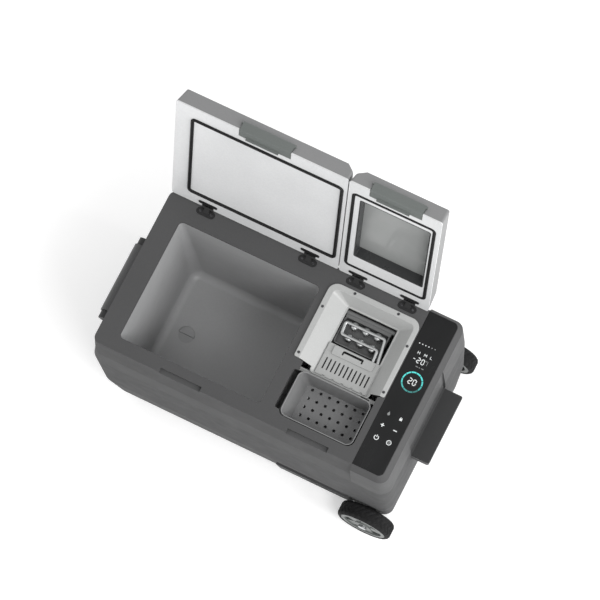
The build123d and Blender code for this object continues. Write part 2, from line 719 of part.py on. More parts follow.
LEFT_INNER_EDGE = LEFT_LID_X[1]
RIGHT_INNER_EDGE = RIGHT_LID_X[0]
WINDOW_X = (82.0, 236.0)
WINDOW_Y = (-308.7, -81.7)
PANE_INSET = 8.0
PANE_LEVEL = LID_IN + 23.0
PANE_T = 3.0


def window_block(inset, low, high, radius):
    """A box through the window opening, inset all round."""
    return lid_block(
        (WINDOW_X[0] + inset, WINDOW_X[1] - inset),
        (WINDOW_Y[0] + inset, WINDOW_Y[1] - inset),
        (low, high),
        radius,
    )


with BuildPart() as left_lid_shell:
    add(lid_shell_form(LEFT_LID_X, LEFT_INNER_EDGE, -1, LATCH_XS[0], HINGE_XS[:2]))
save(left_lid_shell, "left_lid_shell")

with BuildPart() as right_lid_shell:
    add(lid_shell_form(RIGHT_LID_X, RIGHT_INNER_EDGE, 1, LATCH_XS[1], HINGE_XS[2:]))
    add(window_block(PANE_INSET, LID_OUT - 6, LID_OUT + 6, 6), mode=Mode.SUBTRACT)
save(right_lid_shell, "right_lid_shell")

with BuildPart() as left_lid_panel:
    add(lid_form(LEFT_LID_X, LID_IN, LID_IN + PANEL_T, 0))
    add(sole_cut(LATCH_XS[0]), mode=Mode.SUBTRACT)
    add(hinge_notches(HINGE_XS[:2]), mode=Mode.SUBTRACT)
save(left_lid_panel, "left_lid_panel")

with BuildPart() as right_lid_panel:
    add(lid_form(RIGHT_LID_X, LID_IN, LID_IN + PANEL_T, 0))
    add(sole_cut(LATCH_XS[1]), mode=Mode.SUBTRACT)
    add(hinge_notches(HINGE_XS[2:]), mode=Mode.SUBTRACT)
    add(window_block(0, LID_IN - 1, LID_IN + PANEL_T + 1, 5), mode=Mode.SUBTRACT)
save(right_lid_panel, "right_lid_panel")


def lid_foam_form(x, inner_edge, side, latch_x):
    """The foam between a lid's shell and panel."""
    low = LID_IN + PANEL_T + 0.2
    block_in = lid_form(x, low, LID_OUT - LID_WALL - 0.5, LID_WALL + 0.6)
    block_in = block_in - bevel_cut(inner_edge - side * (LID_WALL + 1.5), side)
    block_in = block_in - latch_pocket(latch_x, 3.5)
    rear = lid_block((x[0], x[1]), (-24, LID_REAR + 2), (LID_IN, LID_OUT))
    return block_in - rear


with BuildPart() as left_lid_foam:
    add(lid_foam_form(LEFT_LID_X, LEFT_INNER_EDGE, -1, LATCH_XS[0]))
save(left_lid_foam, "left_lid_foam")

with BuildPart() as right_lid_foam:
    add(lid_foam_form(RIGHT_LID_X, RIGHT_INNER_EDGE, 1, LATCH_XS[1]))
    add(window_block(-0.5, LID_IN, LID_OUT, 5), mode=Mode.SUBTRACT)
save(right_lid_foam, "right_lid_foam")

with BuildPart() as right_window_frame:
    add(window_block(0.1, LID_IN, LID_OUT - LID_WALL - 0.1, 5))
    add(window_block(2.6, LID_IN - 1, PANE_LEVEL + PANE_T, 3), mode=Mode.SUBTRACT)
    add(window_block(PANE_INSET, LID_IN - 1, LID_OUT, 4), mode=Mode.SUBTRACT)
save(right_window_frame, "right_window_frame")

with BuildPart() as right_window_panes:
    add(window_block(2.7, PANE_LEVEL, PANE_LEVEL + PANE_T - 0.05, 3))
    add(window_block(PANE_INSET + 0.1, LID_OUT - LID_WALL, LID_OUT - 0.3, 6))
save(right_window_panes, "right_window_panes")


def gasket_form(x, y, proud, width):
    """A closed seal ring standing proud of the inner face."""
    outer = lid_block(x, y, (LID_IN - proud, LID_IN), 12)
    inner = lid_block(
        (x[0] + width, x[1] - width), (y[0] + width, y[1] - width), (LID_IN - proud - 1, LID_IN + 1), 12 - width
    )
    return outer - inner


with BuildPart() as left_lid_gasket:
    add(gasket_form((-288.5, 46.0), (-325.0, -37.0), 4.6, 7.0))
save(left_lid_gasket, "left_lid_gasket")

with BuildPart() as right_lid_gasket:
    add(gasket_form((64.2, 246.2), (-326.5, -35.8), 2.0, 7.0))
save(right_lid_gasket, "right_lid_gasket")

# ---------------------------------------------------------------------------
# Latches: a sprung lever in each lid's front edge
# ---------------------------------------------------------------------------
LATCH_T = 5.0
SOLE_T = 2.4
LIP_DROP = 5.0
LIP_X = (-40.0, 31.0)  # the lip's ends, from the latch's middle


def latch_form(x):
    """One latch: a front plate on trunnions, a sole under the lid and a lip on the sole."""
    front = LID_FRONT + 0.2
    low = LID_IN + 0.2
    rear = SOLE_REAR - 1.0
    plate = lid_profile(
        (x - LATCH_HALF, x + LATCH_HALF),
        (
            (front, low + 0.8),
            (front + 0.8, low),
            (rear, low),
            (rear, low + SOLE_T),
            (front + LATCH_T + 2, low + SOLE_T),
            (front + LATCH_T, low + SOLE_T + 2),
            (front + LATCH_T, PIVOT[1] + 3),
            (front + 3, PIVOT[1] + 4.6),
            (front + 1, PIVOT[1] + 4),
            (front, PIVOT[1] + 2),
        ),
    )
    lip = lid_profile(
        (x + LIP_X[0], x + LIP_X[1]),
        ((rear - 4, low), (rear, low), (rear - 0.8, low - LIP_DROP), (rear - 3, low - LIP_DROP)),
    )
    trunnions = lid_rod((x - LATCH_HALF - 3.5, x + LATCH_HALF + 3.5), PIVOT, TRUNNION_R)
    return plate + lip + trunnions


with BuildPart() as left_latch:
    add(latch_form(LATCH_XS[0]))
save(left_latch, "left_latch")

with BuildPart() as right_latch:
    add(latch_form(LATCH_XS[1]))
save(right_latch, "right_latch")

# ---------------------------------------------------------------------------
# Lid hinges
# ---------------------------------------------------------------------------
KNUCKLE_R = 3.5
CENTRE_HALF = 6.0
PIN_HALF = 12.0
LEAF_T = 1.4


def rod_x(x, y, z, radius):
    """A cylinder along X, as a finished solid."""
    with BuildPart() as form:
        with BuildSketch(Plane.YZ.offset(x[0])):
            with Locations((y, z)):
                Circle(radius)
        extrude(amount=x[1] - x[0])
    return form.part


def hinge_base_form(x):
    """The base plate in the deck with its arm and centre knuckle."""
    with BuildPart() as base:
        with BuildSketch(Plane.XY.offset(DECK_Z - 4)):
            with Locations((x, 161)):
                SlotOverall(40, 15)
        extrude(amount=3.8)
        with BuildSketch(Plane.YZ.offset(x - CENTRE_HALF)):
            with BuildLine():
                Polyline(
                    (159, DECK_Z - 1),
                    (167.6, DECK_Z - 1),
                    (168.2, HINGE_Z - 2.2),
                    (HINGE_Y, HINGE_Z),
                    (HINGE_Y - 1.6, HINGE_Z + 2.9),
                    close=True,
                )
            make_face()
            with Locations((HINGE_Y, HINGE_Z)):
                Circle(KNUCKLE_R)
        extrude(amount=2 * CENTRE_HALF)
        add(rod_x((x - 20, x + 20), HINGE_Y, HINGE_Z, PIN_R), mode=Mode.SUBTRACT)
        with BuildSketch(Plane.XY.offset(DECK_Z - 4)):
            with Locations((x - 12.5, 161), (x + 12.5, 161)):
                Circle(1.6)
        extrude(amount=4, mode=Mode.SUBTRACT)
    return base.part


def lid_hinge_form(x):
    """The leaf on the lid's inner face with its two knuckles."""
    leaf = lid_block((x - 21, x + 21), (-17.5, -8.8), (LID_IN - LEAF_T, LID_IN), 4.2)
    for side in (-1, 1):
        ends = sorted((x + side * (CENTRE_HALF + GAP), x + side * 12.0))
        web = lid_block(ends, (-12, 0), (LID_IN - LEAF_T, LID_IN - 0.02)) + lid_block(ends, (-3.4, 0), (-1, 3))
        leaf = leaf + web + lid_rod(ends, (0, 0), KNUCKLE_R)
    return leaf - lid_rod((x - 20, x + 20), (0, 0), PIN_R + RUN)


with BuildPart() as hinge_bases:
    for x in HINGE_XS:
        add(hinge_base_form(x))
save(hinge_bases, "hinge_bases")

with BuildPart() as hinge_pins:
    for x in HINGE_XS:
        add(rod_x((x - PIN_HALF, x + PIN_HALF), HINGE_Y, HINGE_Z, PIN_R))
save(hinge_pins, "hinge_pins")

with BuildPart() as hinge_screws:
    with BuildSketch(Plane.XY.offset(DECK_Z - 0.2)):
        with Locations(*[(x + d, 161) for x in HINGE_XS for d in (-12.5, 12.5)]):
            Circle(2.8)
    extrude(amount=1.4)
    with BuildSketch(Plane.XY.offset(DECK_Z - 4)):
        with Locations(*[(x + d, 161) for x in HINGE_XS for d in (-12.5, 12.5)]):
            Circle(1.55)
    extrude(amount=4)
save(hinge_screws, "hinge_screws")

with BuildPart() as left_lid_hinges:
    for x in HINGE_XS[:2]:
        add(lid_hinge_form(x))
save(left_lid_hinges, "left_lid_hinges")

with BuildPart() as right_lid_hinges:
    for x in HINGE_XS[2:]:
        add(lid_hinge_form(x))
save(right_lid_hinges, "right_lid_hinges")

# ---------------------------------------------------------------------------
# Handles
# ---------------------------------------------------------------------------
HANDLE_TOP = 278.0
with BuildPart() as right_handle:
    with BuildSketch(Plane.XY.offset(238)):
        block((300, 371), (-74, 74), 4)
    with BuildSketch(Plane.XY.offset(HANDLE_TOP)):
        block((300, 376.4), (-78, 78), 4)
    loft()
    fillet(right_handle.faces().sort_by(Axis.Z)[-1].edges(), 1.5)
    with BuildSketch(Plane.XY.offset(237)):
        block((338, 364), (-64, 64), 8)
    extrude(amount=31, mode=Mode.SUBTRACT)
    add(LOWER_FORM, mode=Mode.SUBTRACT)
save(right_handle, "right_handle")

EAR_Y = (78.5, 94.0)
PIN_HANDLE_R = 4.0
HUB_R = 16.5
with BuildPart() as left_handle_brackets:
    for low in (-EAR_Y[1], EAR_Y[0]):
        with BuildSketch(Plane(origin=(0, low, 0), x_dir=(1, 0, 0), z_dir=(0, 1, 0))):
            with Locations((GRIP_X, -GRIP_Z)):
                Circle(13.5)
            with BuildLine():
                Polyline(
                    (GRIP_X, -GRIP_Z - 13.5),
                    (-310, -GRIP_Z - 13.5),
                    (-310, -GRIP_Z + 26),
                    (GRIP_X + 4, -GRIP_Z + 13),
                    (GRIP_X, -GRIP_Z + 13.5),
                    close=True,
                )
            make_face()
        extrude(amount=EAR_Y[1] - EAR_Y[0])
    add(LOWER_FORM, mode=Mode.SUBTRACT)
    add(cylinder_y(GRIP_X, GRIP_Z, -100, 100, PIN_HANDLE_R), mode=Mode.SUBTRACT)
save(left_handle_brackets, "left_handle_brackets")

with BuildPart() as left_handle_pin:
    add(cylinder_y(GRIP_X, GRIP_Z, -EAR_Y[1] + 1, EAR_Y[1] - 1, PIN_HANDLE_R))
save(left_handle_pin, "left_handle_pin")

with BuildPart() as left_handle:
    with BuildSketch(Plane(origin=(0, -GRIP_HALF, 0), x_dir=(1, 0, 0), z_dir=(0, 1, 0))):
        with Locations((GRIP_X, -GRIP_Z)):
            Circle(HUB_R)
        with BuildLine():
            Polyline(
                (GRIP_X - HUB_R, -GRIP_Z),
                (GRIP_X - HUB_R + 3, -GRIP_Z + 60),
                (GRIP_X - HUB_R + 7, -GRIP_Z + 74),
                (GRIP_X + HUB_R - 12, -GRIP_Z + 74),
                (GRIP_X + HUB_R - 7, -GRIP_Z + 60),
                (GRIP_X + HUB_R - 2, -GRIP_Z + 8),
                close=True,
            )
        make_face()
    extrude(amount=2 * GRIP_HALF)
    with BuildSketch(Plane.YZ.offset(GRIP_X - 30)):
        with Locations((0, GRIP_Z - 36)):
            RectangleRounded(118, 36, 14)
    extrude(amount=60, mode=Mode.SUBTRACT)
    add(cylinder_y(GRIP_X, GRIP_Z, -100, 100, PIN_HANDLE_R + RUN), mode=Mode.SUBTRACT)
save(left_handle, "left_handle")

# ---------------------------------------------------------------------------
# Wheels, axle, feet
# ---------------------------------------------------------------------------
RIM_R = 50.0
RIM_BAND = 8.0
HUB_R_WHEEL = 18.0
SPOKES = 5


def tyre_form(y0, y1):
    """A ribbed rubber tyre between two Y values."""
    tyre = cylinder_y(WHEEL_X, WHEEL_Z, y0, y1, WHEEL_R) - cylinder_y(WHEEL_X, WHEEL_Z, y0 - 1, y1 + 1, RIM_R)
    middle = (y0 + y1) / 2
    for offset in (-7.0, 0.0, 7.0):
        groove = cylinder_y(WHEEL_X, WHEEL_Z, middle + offset - 1, middle + offset + 1, WHEEL_R + 2)
        core = cylinder_y(WHEEL_X, WHEEL_Z, middle + offset - 2, middle + offset + 2, WHEEL_R - 1.5)
        tyre = tyre - (groove - core)
    return tyre


def rim_form(y0, y1, outward):
    """A five-spoked rim with its hub."""
    rim = cylinder_y(WHEEL_X, WHEEL_Z, y0, y1, RIM_R) - cylinder_y(WHEEL_X, WHEEL_Z, y0 - 1, y1 + 1, RIM_R - RIM_BAND)
    rim = rim + cylinder_y(WHEEL_X, WHEEL_Z, y0, y1, HUB_R_WHEEL)
    middle = (y0 + y1) / 2
    low = middle - 9 + outward * 4
    with BuildPart() as spokes:
        with BuildSketch(Plane(origin=(WHEEL_X, low, WHEEL_Z), x_dir=(1, 0, 0), z_dir=(0, 1, 0))):
            with PolarLocations(0, SPOKES):
                with Locations((30, 0)):
                    Rectangle(30, 21)
        extrude(amount=18)
    rim = rim + spokes.part
    return rim - cylinder_y(WHEEL_X, WHEEL_Z, y0 - 1, y1 + 1, AXLE_R + RUN)


with BuildPart() as front_tyre:
    add(tyre_form(-WHEEL_Y[1], -WHEEL_Y[0]))
save(front_tyre, "front_tyre")

with BuildPart() as front_rim:
    add(rim_form(-WHEEL_Y[1] + 1, -WHEEL_Y[0] - 1, -1))
save(front_rim, "front_rim")

with BuildPart() as rear_tyre:
    add(tyre_form(WHEEL_Y[0], WHEEL_Y[1]))
save(rear_tyre, "rear_tyre")

with BuildPart() as rear_rim:
    add(rim_form(WHEEL_Y[0] + 1, WHEEL_Y[1] - 1, 1))
save(rear_rim, "rear_rim")

with BuildPart() as wheel_axle:
    add(cylinder_y(WHEEL_X, WHEEL_Z, -WHEEL_Y[1] - 1, WHEEL_Y[1] + 1, AXLE_R))
    for y in (-WHEEL_Y[1] - 3, WHEEL_Y[1] - 0.6):
        add(cylinder_y(WHEEL_X, WHEEL_Z, y, y + 3.6, 9))
save(wheel_axle, "wheel_axle")

with BuildPart() as axle_brackets:
    for y in (-179.2, 166.0):
        add(cylinder_y(WHEEL_X, WHEEL_Z, y, y + 13.2, 11))
    add(LOWER_FORM, mode=Mode.SUBTRACT)
    for y in (-158, 150):
        add(box_between((WHEEL_X - 18, WHEEL_X + 18), (y, y + 8), (BASE_Z + WALL + 0.1, WHEEL_Z + 16)))
    add(cylinder_y(WHEEL_X, WHEEL_Z, -190, 190, AXLE_R), mode=Mode.SUBTRACT)
save(axle_brackets, "axle_brackets")

FEET = ((-275.0, -128.0), (-275.0, 128.0))
with BuildPart() as feet:
    for x, y in FEET:
        with BuildSketch(Plane.XY) as foot_low:
            with Locations((x, y)):
                Circle(17)
        with BuildSketch(Plane.XY.offset(BASE_Z - 0.05)) as foot_high:
            with Locations((x, y)):
                Circle(21)
        loft(sections=[foot_low.sketch.faces()[0], foot_high.sketch.faces()[0]])
save(feet, "feet")

# ---------------------------------------------------------------------------
# Machine compartment
# ---------------------------------------------------------------------------
FLOOR = BASE_Z + WALL + 0.1
FAN = (165.0, 125.0)  # X and Z of the fan's spindle
FAN_R = 47.0

with BuildPart() as machine_bulkhead:
    add(solid_loft(BASE_Z + WALL + 0.2, BASE, WELL_FLOOR_Z - 3, WIDEST, -WALL - 16))
    split(bisect_by=Plane.YZ.offset(57), keep=Keep.TOP)
    split(bisect_by=Plane.YZ.offset(59), keep=Keep.BOTTOM)
save(machine_bulkhead, "machine_bulkhead")

with BuildPart() as compressor:
    with BuildSketch(Plane.XY.offset(50)):
        with Locations((130, -70)):
            Circle(50)
    extrude(amount=130)
    fillet(compressor.edges().filter_by(GeomType.CIRCLE), 30)
    add(box_between((72, 188), (-118, -22), (44, 52)))
    for x in (80, 180):
        for y in (-110, -30):
            with BuildSketch(Plane.XY.offset(FLOOR)):
                with Locations((x, y)):
                    Circle(7)
            extrude(amount=20)
save(compressor, "compressor")

COND_X = (104.0, 226.0)
COND_Y = (128.0, 152.0)
COND_Z = (64.0, 186.0)
with BuildPart() as condenser:
    for x in (COND_X[0], COND_X[1] - 2):
        add(box_between((x, x + 2), COND_Y, (FLOOR, COND_Z[1])))
    for i in range(4):
        for y in (134, 146):
            z = COND_Z[0] + 16 + 30 * i
            with BuildSketch(Plane.YZ.offset(COND_X[0])):
                with Locations((y, z)):
                    Circle(3.5)
            extrude(amount=COND_X[1] - COND_X[0])
    for i in range(22):
        x = COND_X[0] + 7 + 5.1 * i
        add(box_between((x, x + 0.8), COND_Y, COND_Z))
save(condenser, "condenser")

with BuildPart() as fan_shroud:
    add(box_between((106, 224), (102, 124), (FLOOR, 186)))
    add(cylinder_y(FAN[0], FAN[1], 105, 130, FAN_R + 4), mode=Mode.SUBTRACT)
    add(cylinder_y(FAN[0], FAN[1], 90, 130, FAN_R + 2), mode=Mode.SUBTRACT)
    add(cylinder_y(FAN[0], FAN[1], 102, 106, 15))
    add(cylinder_y(FAN[0], FAN[1], 102, 120, 3))
    for angle in (45, 135):
        with BuildSketch(Plane(origin=(FAN[0], 102, FAN[1]), x_dir=(1, 0, 0), z_dir=(0, 1, 0))):
            Rectangle(2 * FAN_R + 8, 7, rotation=angle)
        extrude(amount=3)
save(fan_shroud, "fan_shroud")

with BuildPart() as condenser_fan:
    add(cylinder_y(FAN[0], FAN[1], 107, 120, 16))
    for i in range(7):
        turn = 360 / 7 * i
        blade_plane = Plane(origin=(FAN[0], 113.5, FAN[1]), x_dir=(cos(radians(turn)), 0, sin(radians(turn))),
                            z_dir=(-sin(radians(turn)) * 0.5, 0.86, cos(radians(turn)) * 0.5))
        with BuildSketch(blade_plane.offset(-0.8)):
            with Locations((29, 0)):
                RectangleRounded(32, 15, 4)
        extrude(amount=1.6)
    add(cylinder_y(FAN[0], FAN[1], 100, 130, 3 + RUN), mode=Mode.SUBTRACT)
save(condenser_fan, "condenser_fan")

with BuildPart() as controller_board:
    add(box_between((296, 298), (-95, 70), (95, 215)))
    add(box_between((284, 296), (-80, -20), (110, 200)))
    add(box_between((288, 296), (0, 55), (150, 205)))
    for y in (-88, 63):
        for z in (102, 208):
            with BuildSketch(Plane.YZ.offset(298)):
                with Locations((y, z)):
                    Circle(4)
            extrude(amount=9)
save(controller_board, "controller_board")


def pipe(points, radius, bend):
    """A bent tube along the given points."""
    with BuildPart() as tube:
        with BuildLine() as path:
            FilletPolyline(*points, radius=bend)
        with BuildSketch(Plane(origin=path.line @ 0, z_dir=path.line % 0)):
            Circle(radius)
        sweep()
    return tube.part


with BuildPart() as refrigerant_pipes:
    add(pipe(((130, -19.5, 110), (130, 20, 110), (95, 20, 110), (95, 134, 110), (103.9, 134, 110)), 3, 6))
    add(pipe(((181, -70, 120), (240, -70, 120), (240, 60, 120), (240, 60, 236), (240, 100, 236)), 3, 8))
    add(pipe(((226.2, 146, 80), (236, 146, 80), (236, 146, 222), (64, 146, 222)), 2, 6))
save(refrigerant_pipes, "refrigerant_pipes")

VENT_X = (69.0, 237.0)
SLAT_X = (140.0, 233.0)
VENT_Z = (BASE_Z + 0.5, 104.0)
with BuildPart() as front_vent:
    add(lower_form(4.5) & box_between(VENT_X, (-200, -150), VENT_Z))
    add(LOWER_FORM, mode=Mode.SUBTRACT)
    with BuildSketch(Plane(origin=(0, -150, 0), x_dir=(1, 0, 0), z_dir=(0, -1, 0))):
        for i in range(9):
            x = SLAT_X[0] + 2 + 10 * i
            with BuildLine():
                Polyline((x - 12, 44), (x - 6, 44), (x + 12, 92), (x + 6, 92), close=True)
            make_face()
    extrude(amount=50, mode=Mode.SUBTRACT)
save(front_vent, "front_vent")

with BuildPart() as rear_vent:
    add(LOWER_FORM & rear_window(REAR_VENT))
    add(lower_form(-WALL) & rear_window(REAR_VENT), mode=Mode.SUBTRACT)
    with BuildSketch(Plane(origin=(0, 150, 0), x_dir=(1, 0, 0), z_dir=(0, 1, 0))):
        with Locations((165, -125)):
            with GridLocations(1, 12, 1, 9):
                RectangleRounded(114, 6, 2)
    extrude(amount=50, mode=Mode.SUBTRACT)
save(rear_vent, "rear_vent")

with BuildPart() as power_inlet:
    add(lower_form(1.0) & rear_window(INLET))
    add(box_between((258, 288), (172, 190), (205, 231)), mode=Mode.SUBTRACT)
    for x in (266, 280):
        add(cylinder_y(x, 218, 168, 178, 2.2))
save(power_inlet, "power_inlet")
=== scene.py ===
import json
import math
import random

import bmesh
import bpy
from mathutils import Matrix, Vector


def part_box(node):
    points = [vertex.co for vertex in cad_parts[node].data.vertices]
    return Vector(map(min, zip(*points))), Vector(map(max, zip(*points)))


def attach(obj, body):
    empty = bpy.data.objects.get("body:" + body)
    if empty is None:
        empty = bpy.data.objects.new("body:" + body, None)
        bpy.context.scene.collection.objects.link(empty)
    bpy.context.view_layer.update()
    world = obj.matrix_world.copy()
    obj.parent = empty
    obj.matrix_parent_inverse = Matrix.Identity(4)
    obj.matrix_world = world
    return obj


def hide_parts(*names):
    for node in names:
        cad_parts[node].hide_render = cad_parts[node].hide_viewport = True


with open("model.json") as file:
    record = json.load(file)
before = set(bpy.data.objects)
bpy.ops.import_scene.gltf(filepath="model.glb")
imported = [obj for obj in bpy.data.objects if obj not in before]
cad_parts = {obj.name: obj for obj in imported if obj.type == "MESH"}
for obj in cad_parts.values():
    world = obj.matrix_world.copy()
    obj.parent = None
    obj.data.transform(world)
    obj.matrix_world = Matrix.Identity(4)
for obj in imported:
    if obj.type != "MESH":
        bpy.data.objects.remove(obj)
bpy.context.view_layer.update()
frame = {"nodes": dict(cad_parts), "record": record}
NODES = frame["nodes"]
SHIFT_Y = -0.0385  # y of the body's middle; the origin is the middle of the part with its lids open

# ---------------------------------------------------------------------------
# Camera, light and floor
# ---------------------------------------------------------------------------
CAMERA_AT = Vector((1.4640, -1.7707 + SHIFT_Y, 8.5562))
CAMERA_RIGHT = Vector((0.89123868, 0.45040726, -0.05651519))
CAMERA_UP = Vector((-0.41976731, 0.86557078, 0.27216454))
CAMERA_FORWARD = Vector((-0.17140109, 0.21880474, -0.96047351))
CAMERA_LENS = 253.03
SENSOR_WIDTH = 36.0
FAR_CLIP = 100.0
SURROUND = 0.80  # strength of the white surroundings
FLOOR_GLOW = 0.30  # keeps the floor white all round the part
FLOOR_SIZE = 12.0
SOFTBOXES = (
    # name, place, the point that it is aimed at, size, power
    ("right_softbox", (3.8, -0.2, 2.2), (0.0, 0.0, 0.4), 2.0, 85.0),
    ("high_softbox", (2.4, -1.6, 4.0), (0.0, 0.0, 0.3), 1.6, 75.0),
)

scene = bpy.context.scene
scene.view_settings.view_transform = "Standard"
scene.view_settings.look = "None"


def set_camera():
    """The camera at the photograph's viewing angle."""
    data = bpy.data.cameras.new("camera")
    data.lens = CAMERA_LENS
    data.sensor_width = SENSOR_WIDTH
    data.clip_end = FAR_CLIP
    camera = bpy.data.objects.new("camera", data)
    scene.collection.objects.link(camera)
    turn = Matrix((CAMERA_RIGHT, CAMERA_UP, -CAMERA_FORWARD)).transposed().to_4x4()
    camera.matrix_world = Matrix.Translation(CAMERA_AT) @ turn
    scene.camera = camera


def area_light(name, at, target, size, power):
    """A square soft light aimed at a point."""
    data = bpy.data.lights.new(name, "AREA")
    data.shape = "SQUARE"
    data.size = size
    data.energy = power
    light = bpy.data.objects.new(name, data)
    scene.collection.objects.link(light)
    light.location = at
    light.rotation_euler = (Vector(target) - Vector(at)).to_track_quat("-Z", "Y").to_euler()


def set_light():
    """Even white surroundings, with a softbox low on the right and one high in front of it."""
    world = bpy.data.worlds.new("studio")
    world.use_nodes = True
    background = world.node_tree.nodes["Background"]
    background.inputs["Color"].default_value = (1.0, 1.0, 1.0, 1.0)
    background.inputs["Strength"].default_value = SURROUND
    scene.world = world
    for softbox in SOFTBOXES:
        area_light(*softbox)


# ---------------------------------------------------------------------------
# Materials
# ---------------------------------------------------------------------------
NOISE_RANGE = (0.3, 0.7)  # where most of a noise's values fall
EDGE_SAMPLES = 4
EDGE_RANGE = (0.995, 0.80)  # cosine between the true and the rounded normal, on a face and on an edge


class Shader:
    """A material's node tree with short names for what is used over and over."""

    def __init__(self, name):
        self.material = bpy.data.materials.new(name)
        self.material.use_nodes = True
        self.nodes = self.material.node_tree.nodes
        self.links = self.material.node_tree.links
        self.shader = self.nodes["Principled BSDF"]
        coords = self.nodes.new("ShaderNodeTexCoord")
        self.coords = coords.outputs["Object"]

    def link(self, a, b):
        self.links.new(a, b)

    def noise(self, scale, detail=3.0, stretch=None):
        node = self.nodes.new("ShaderNodeTexNoise")
        node.inputs["Scale"].default_value = scale
        node.inputs["Detail"].default_value = detail
        self.link(self.stretched(stretch), node.inputs["Vector"])
        return node.outputs["Fac"]

    def cells(self, scale, feature="F1"):
        node = self.nodes.new("ShaderNodeTexVoronoi")
        node.feature = feature
        node.inputs["Scale"].default_value = scale
        self.link(self.coords, node.inputs["Vector"])
        return node.outputs["Distance"]

    def stretched(self, stretch):
        if stretch is None:
            return self.coords
        node = self.nodes.new("ShaderNodeMapping")
        node.inputs["Scale"].default_value = stretch
        self.link(self.coords, node.inputs["Vector"])
        return node.outputs["Vector"]

    def ramp(self, fac, low, high, out_low, out_high):
        node = self.nodes.new("ShaderNodeMapRange")
        node.inputs["From Min"].default_value = low
        node.inputs["From Max"].default_value = high
        node.inputs["To Min"].default_value = out_low
        node.inputs["To Max"].default_value = out_high
        self.link(fac, node.inputs["Value"])
        return node.outputs["Result"]

    def spread(self, fac, out_low, out_high):
        """A noise's usual range, spread from out_low to out_high."""
        return self.ramp(fac, *NOISE_RANGE, out_low, out_high)

    def math(self, kind, a, b):
        node = self.nodes.new("ShaderNodeMath")
        node.operation = kind
        for socket, value in zip(node.inputs, (a, b)):
            if isinstance(value, (int, float)):
                socket.default_value = value
            else:
                self.link(value, socket)
        return node.outputs["Value"]

    def mix(self, fac, a, b):
        node = self.nodes.new("ShaderNodeMix")
        node.data_type = "RGBA"
        if isinstance(fac, (int, float)):
            node.inputs["Factor"].default_value = fac
        else:
            self.link(fac, node.inputs["Factor"])
        for socket, value in ((node.inputs["A"], a), (node.inputs["B"], b)):
            if isinstance(value, tuple):
                socket.default_value = value
            else:
                self.link(value, socket)
        return node.outputs["Result"]

    def edges(self, radius):
        """0 on flat faces, rising to 1 on edges sharper than the radius."""
        rounded = self.nodes.new("ShaderNodeBevel")
        rounded.samples = EDGE_SAMPLES
        rounded.inputs["Radius"].default_value = radius
        flat = self.nodes.new("ShaderNodeNewGeometry")
        dot = self.nodes.new("ShaderNodeVectorMath")
        dot.operation = "DOT_PRODUCT"
        self.link(rounded.outputs["Normal"], dot.inputs[0])
        self.link(flat.outputs["Normal"], dot.inputs[1])
        return self.ramp(dot.outputs["Value"], *EDGE_RANGE, 0.0, 1.0)

    def bump(self, height, strength, distance, normal=None):
        node = self.nodes.new("ShaderNodeBump")
        node.inputs["Strength"].default_value = strength
        node.inputs["Distance"].default_value = distance
        self.link(height, node.inputs["Height"])
        if normal is not None:
            self.link(normal, node.inputs["Normal"])
        return node.outputs["Normal"]

    def soft_edge(self, radius):
        """A normal that rounds sharp edges by the radius."""
        node = self.nodes.new("ShaderNodeBevel")
        node.samples = EDGE_SAMPLES
        node.inputs["Radius"].default_value = radius
        return node.outputs["Normal"]


def tint(colour, factor):
    """A colour made lighter or darker."""
    return tuple(min(1.0, c * factor) for c in colour[:3]) + (1.0,)


def plastic(
    name, colour, roughness=0.5, grain=1500.0, grain_depth=0.00004, wear=0.35, edge=0.0006, specular=0.5
):
    """Moulded plastic: spark-eroded grain, slight flow mottling and burnished edges."""
    s = Shader(name)
    mottle = s.noise(9.0, 4.0)
    fine = s.noise(grain * 0.35, 2.0)
    base = s.mix(s.spread(mottle, 0.0, 1.0), tint(colour, 0.955), tint(colour, 1.045))
    speck = s.mix(s.ramp(fine, 0.35, 0.65, 0.0, 1.0), tint(colour, 0.93), tint(colour, 1.07))
    base = s.mix(0.35, base, speck)
    worn = s.math("MULTIPLY", s.edges(edge), s.ramp(s.noise(60.0, 4.0), 0.4, 0.65, 0.25, 1.0))
    base = s.mix(s.math("MULTIPLY", worn, wear), base, tint(colour, 1.9))
    s.link(base, s.shader.inputs["Base Color"])
    rough = s.spread(s.noise(35.0, 5.0), roughness - 0.05, roughness + 0.05)
    rough = s.math("SUBTRACT", rough, s.math("MULTIPLY", worn, 0.10))
    s.link(rough, s.shader.inputs["Roughness"])
    pits = s.cells(grain)
    height = s.math("ADD", pits, s.noise(grain * 0.6, 2.0))
    s.link(s.bump(height, 0.5, grain_depth, s.soft_edge(edge)), s.shader.inputs["Normal"])
    s.shader.inputs["Specular IOR Level"].default_value = specular
    return s.material


def metal(name, colour, roughness=0.3, brushed=(400.0, 400.0, 12.0), depth=0.00001):
    """Bare or plated metal with fine drawn lines and a little tarnish."""
    s = Shader(name)
    lines = s.noise(1.0, 4.0, brushed)
    tarnish = s.noise(45.0, 5.0)
    base = s.mix(s.ramp(tarnish, 0.35, 0.7, 0.0, 1.0), tint(colour, 1.03), tint(colour, 0.86))
    s.link(base, s.shader.inputs["Base Color"])
    rough = s.spread(lines, roughness - 0.06, roughness + 0.08)
    rough = s.math("ADD", rough, s.ramp(tarnish, 0.5, 0.8, 0.0, 0.1))
    s.link(rough, s.shader.inputs["Roughness"])
    s.link(s.bump(lines, 0.4, depth, s.soft_edge(0.0003)), s.shader.inputs["Normal"])
    s.shader.inputs["Metallic"].default_value = 1.0
    return s.material


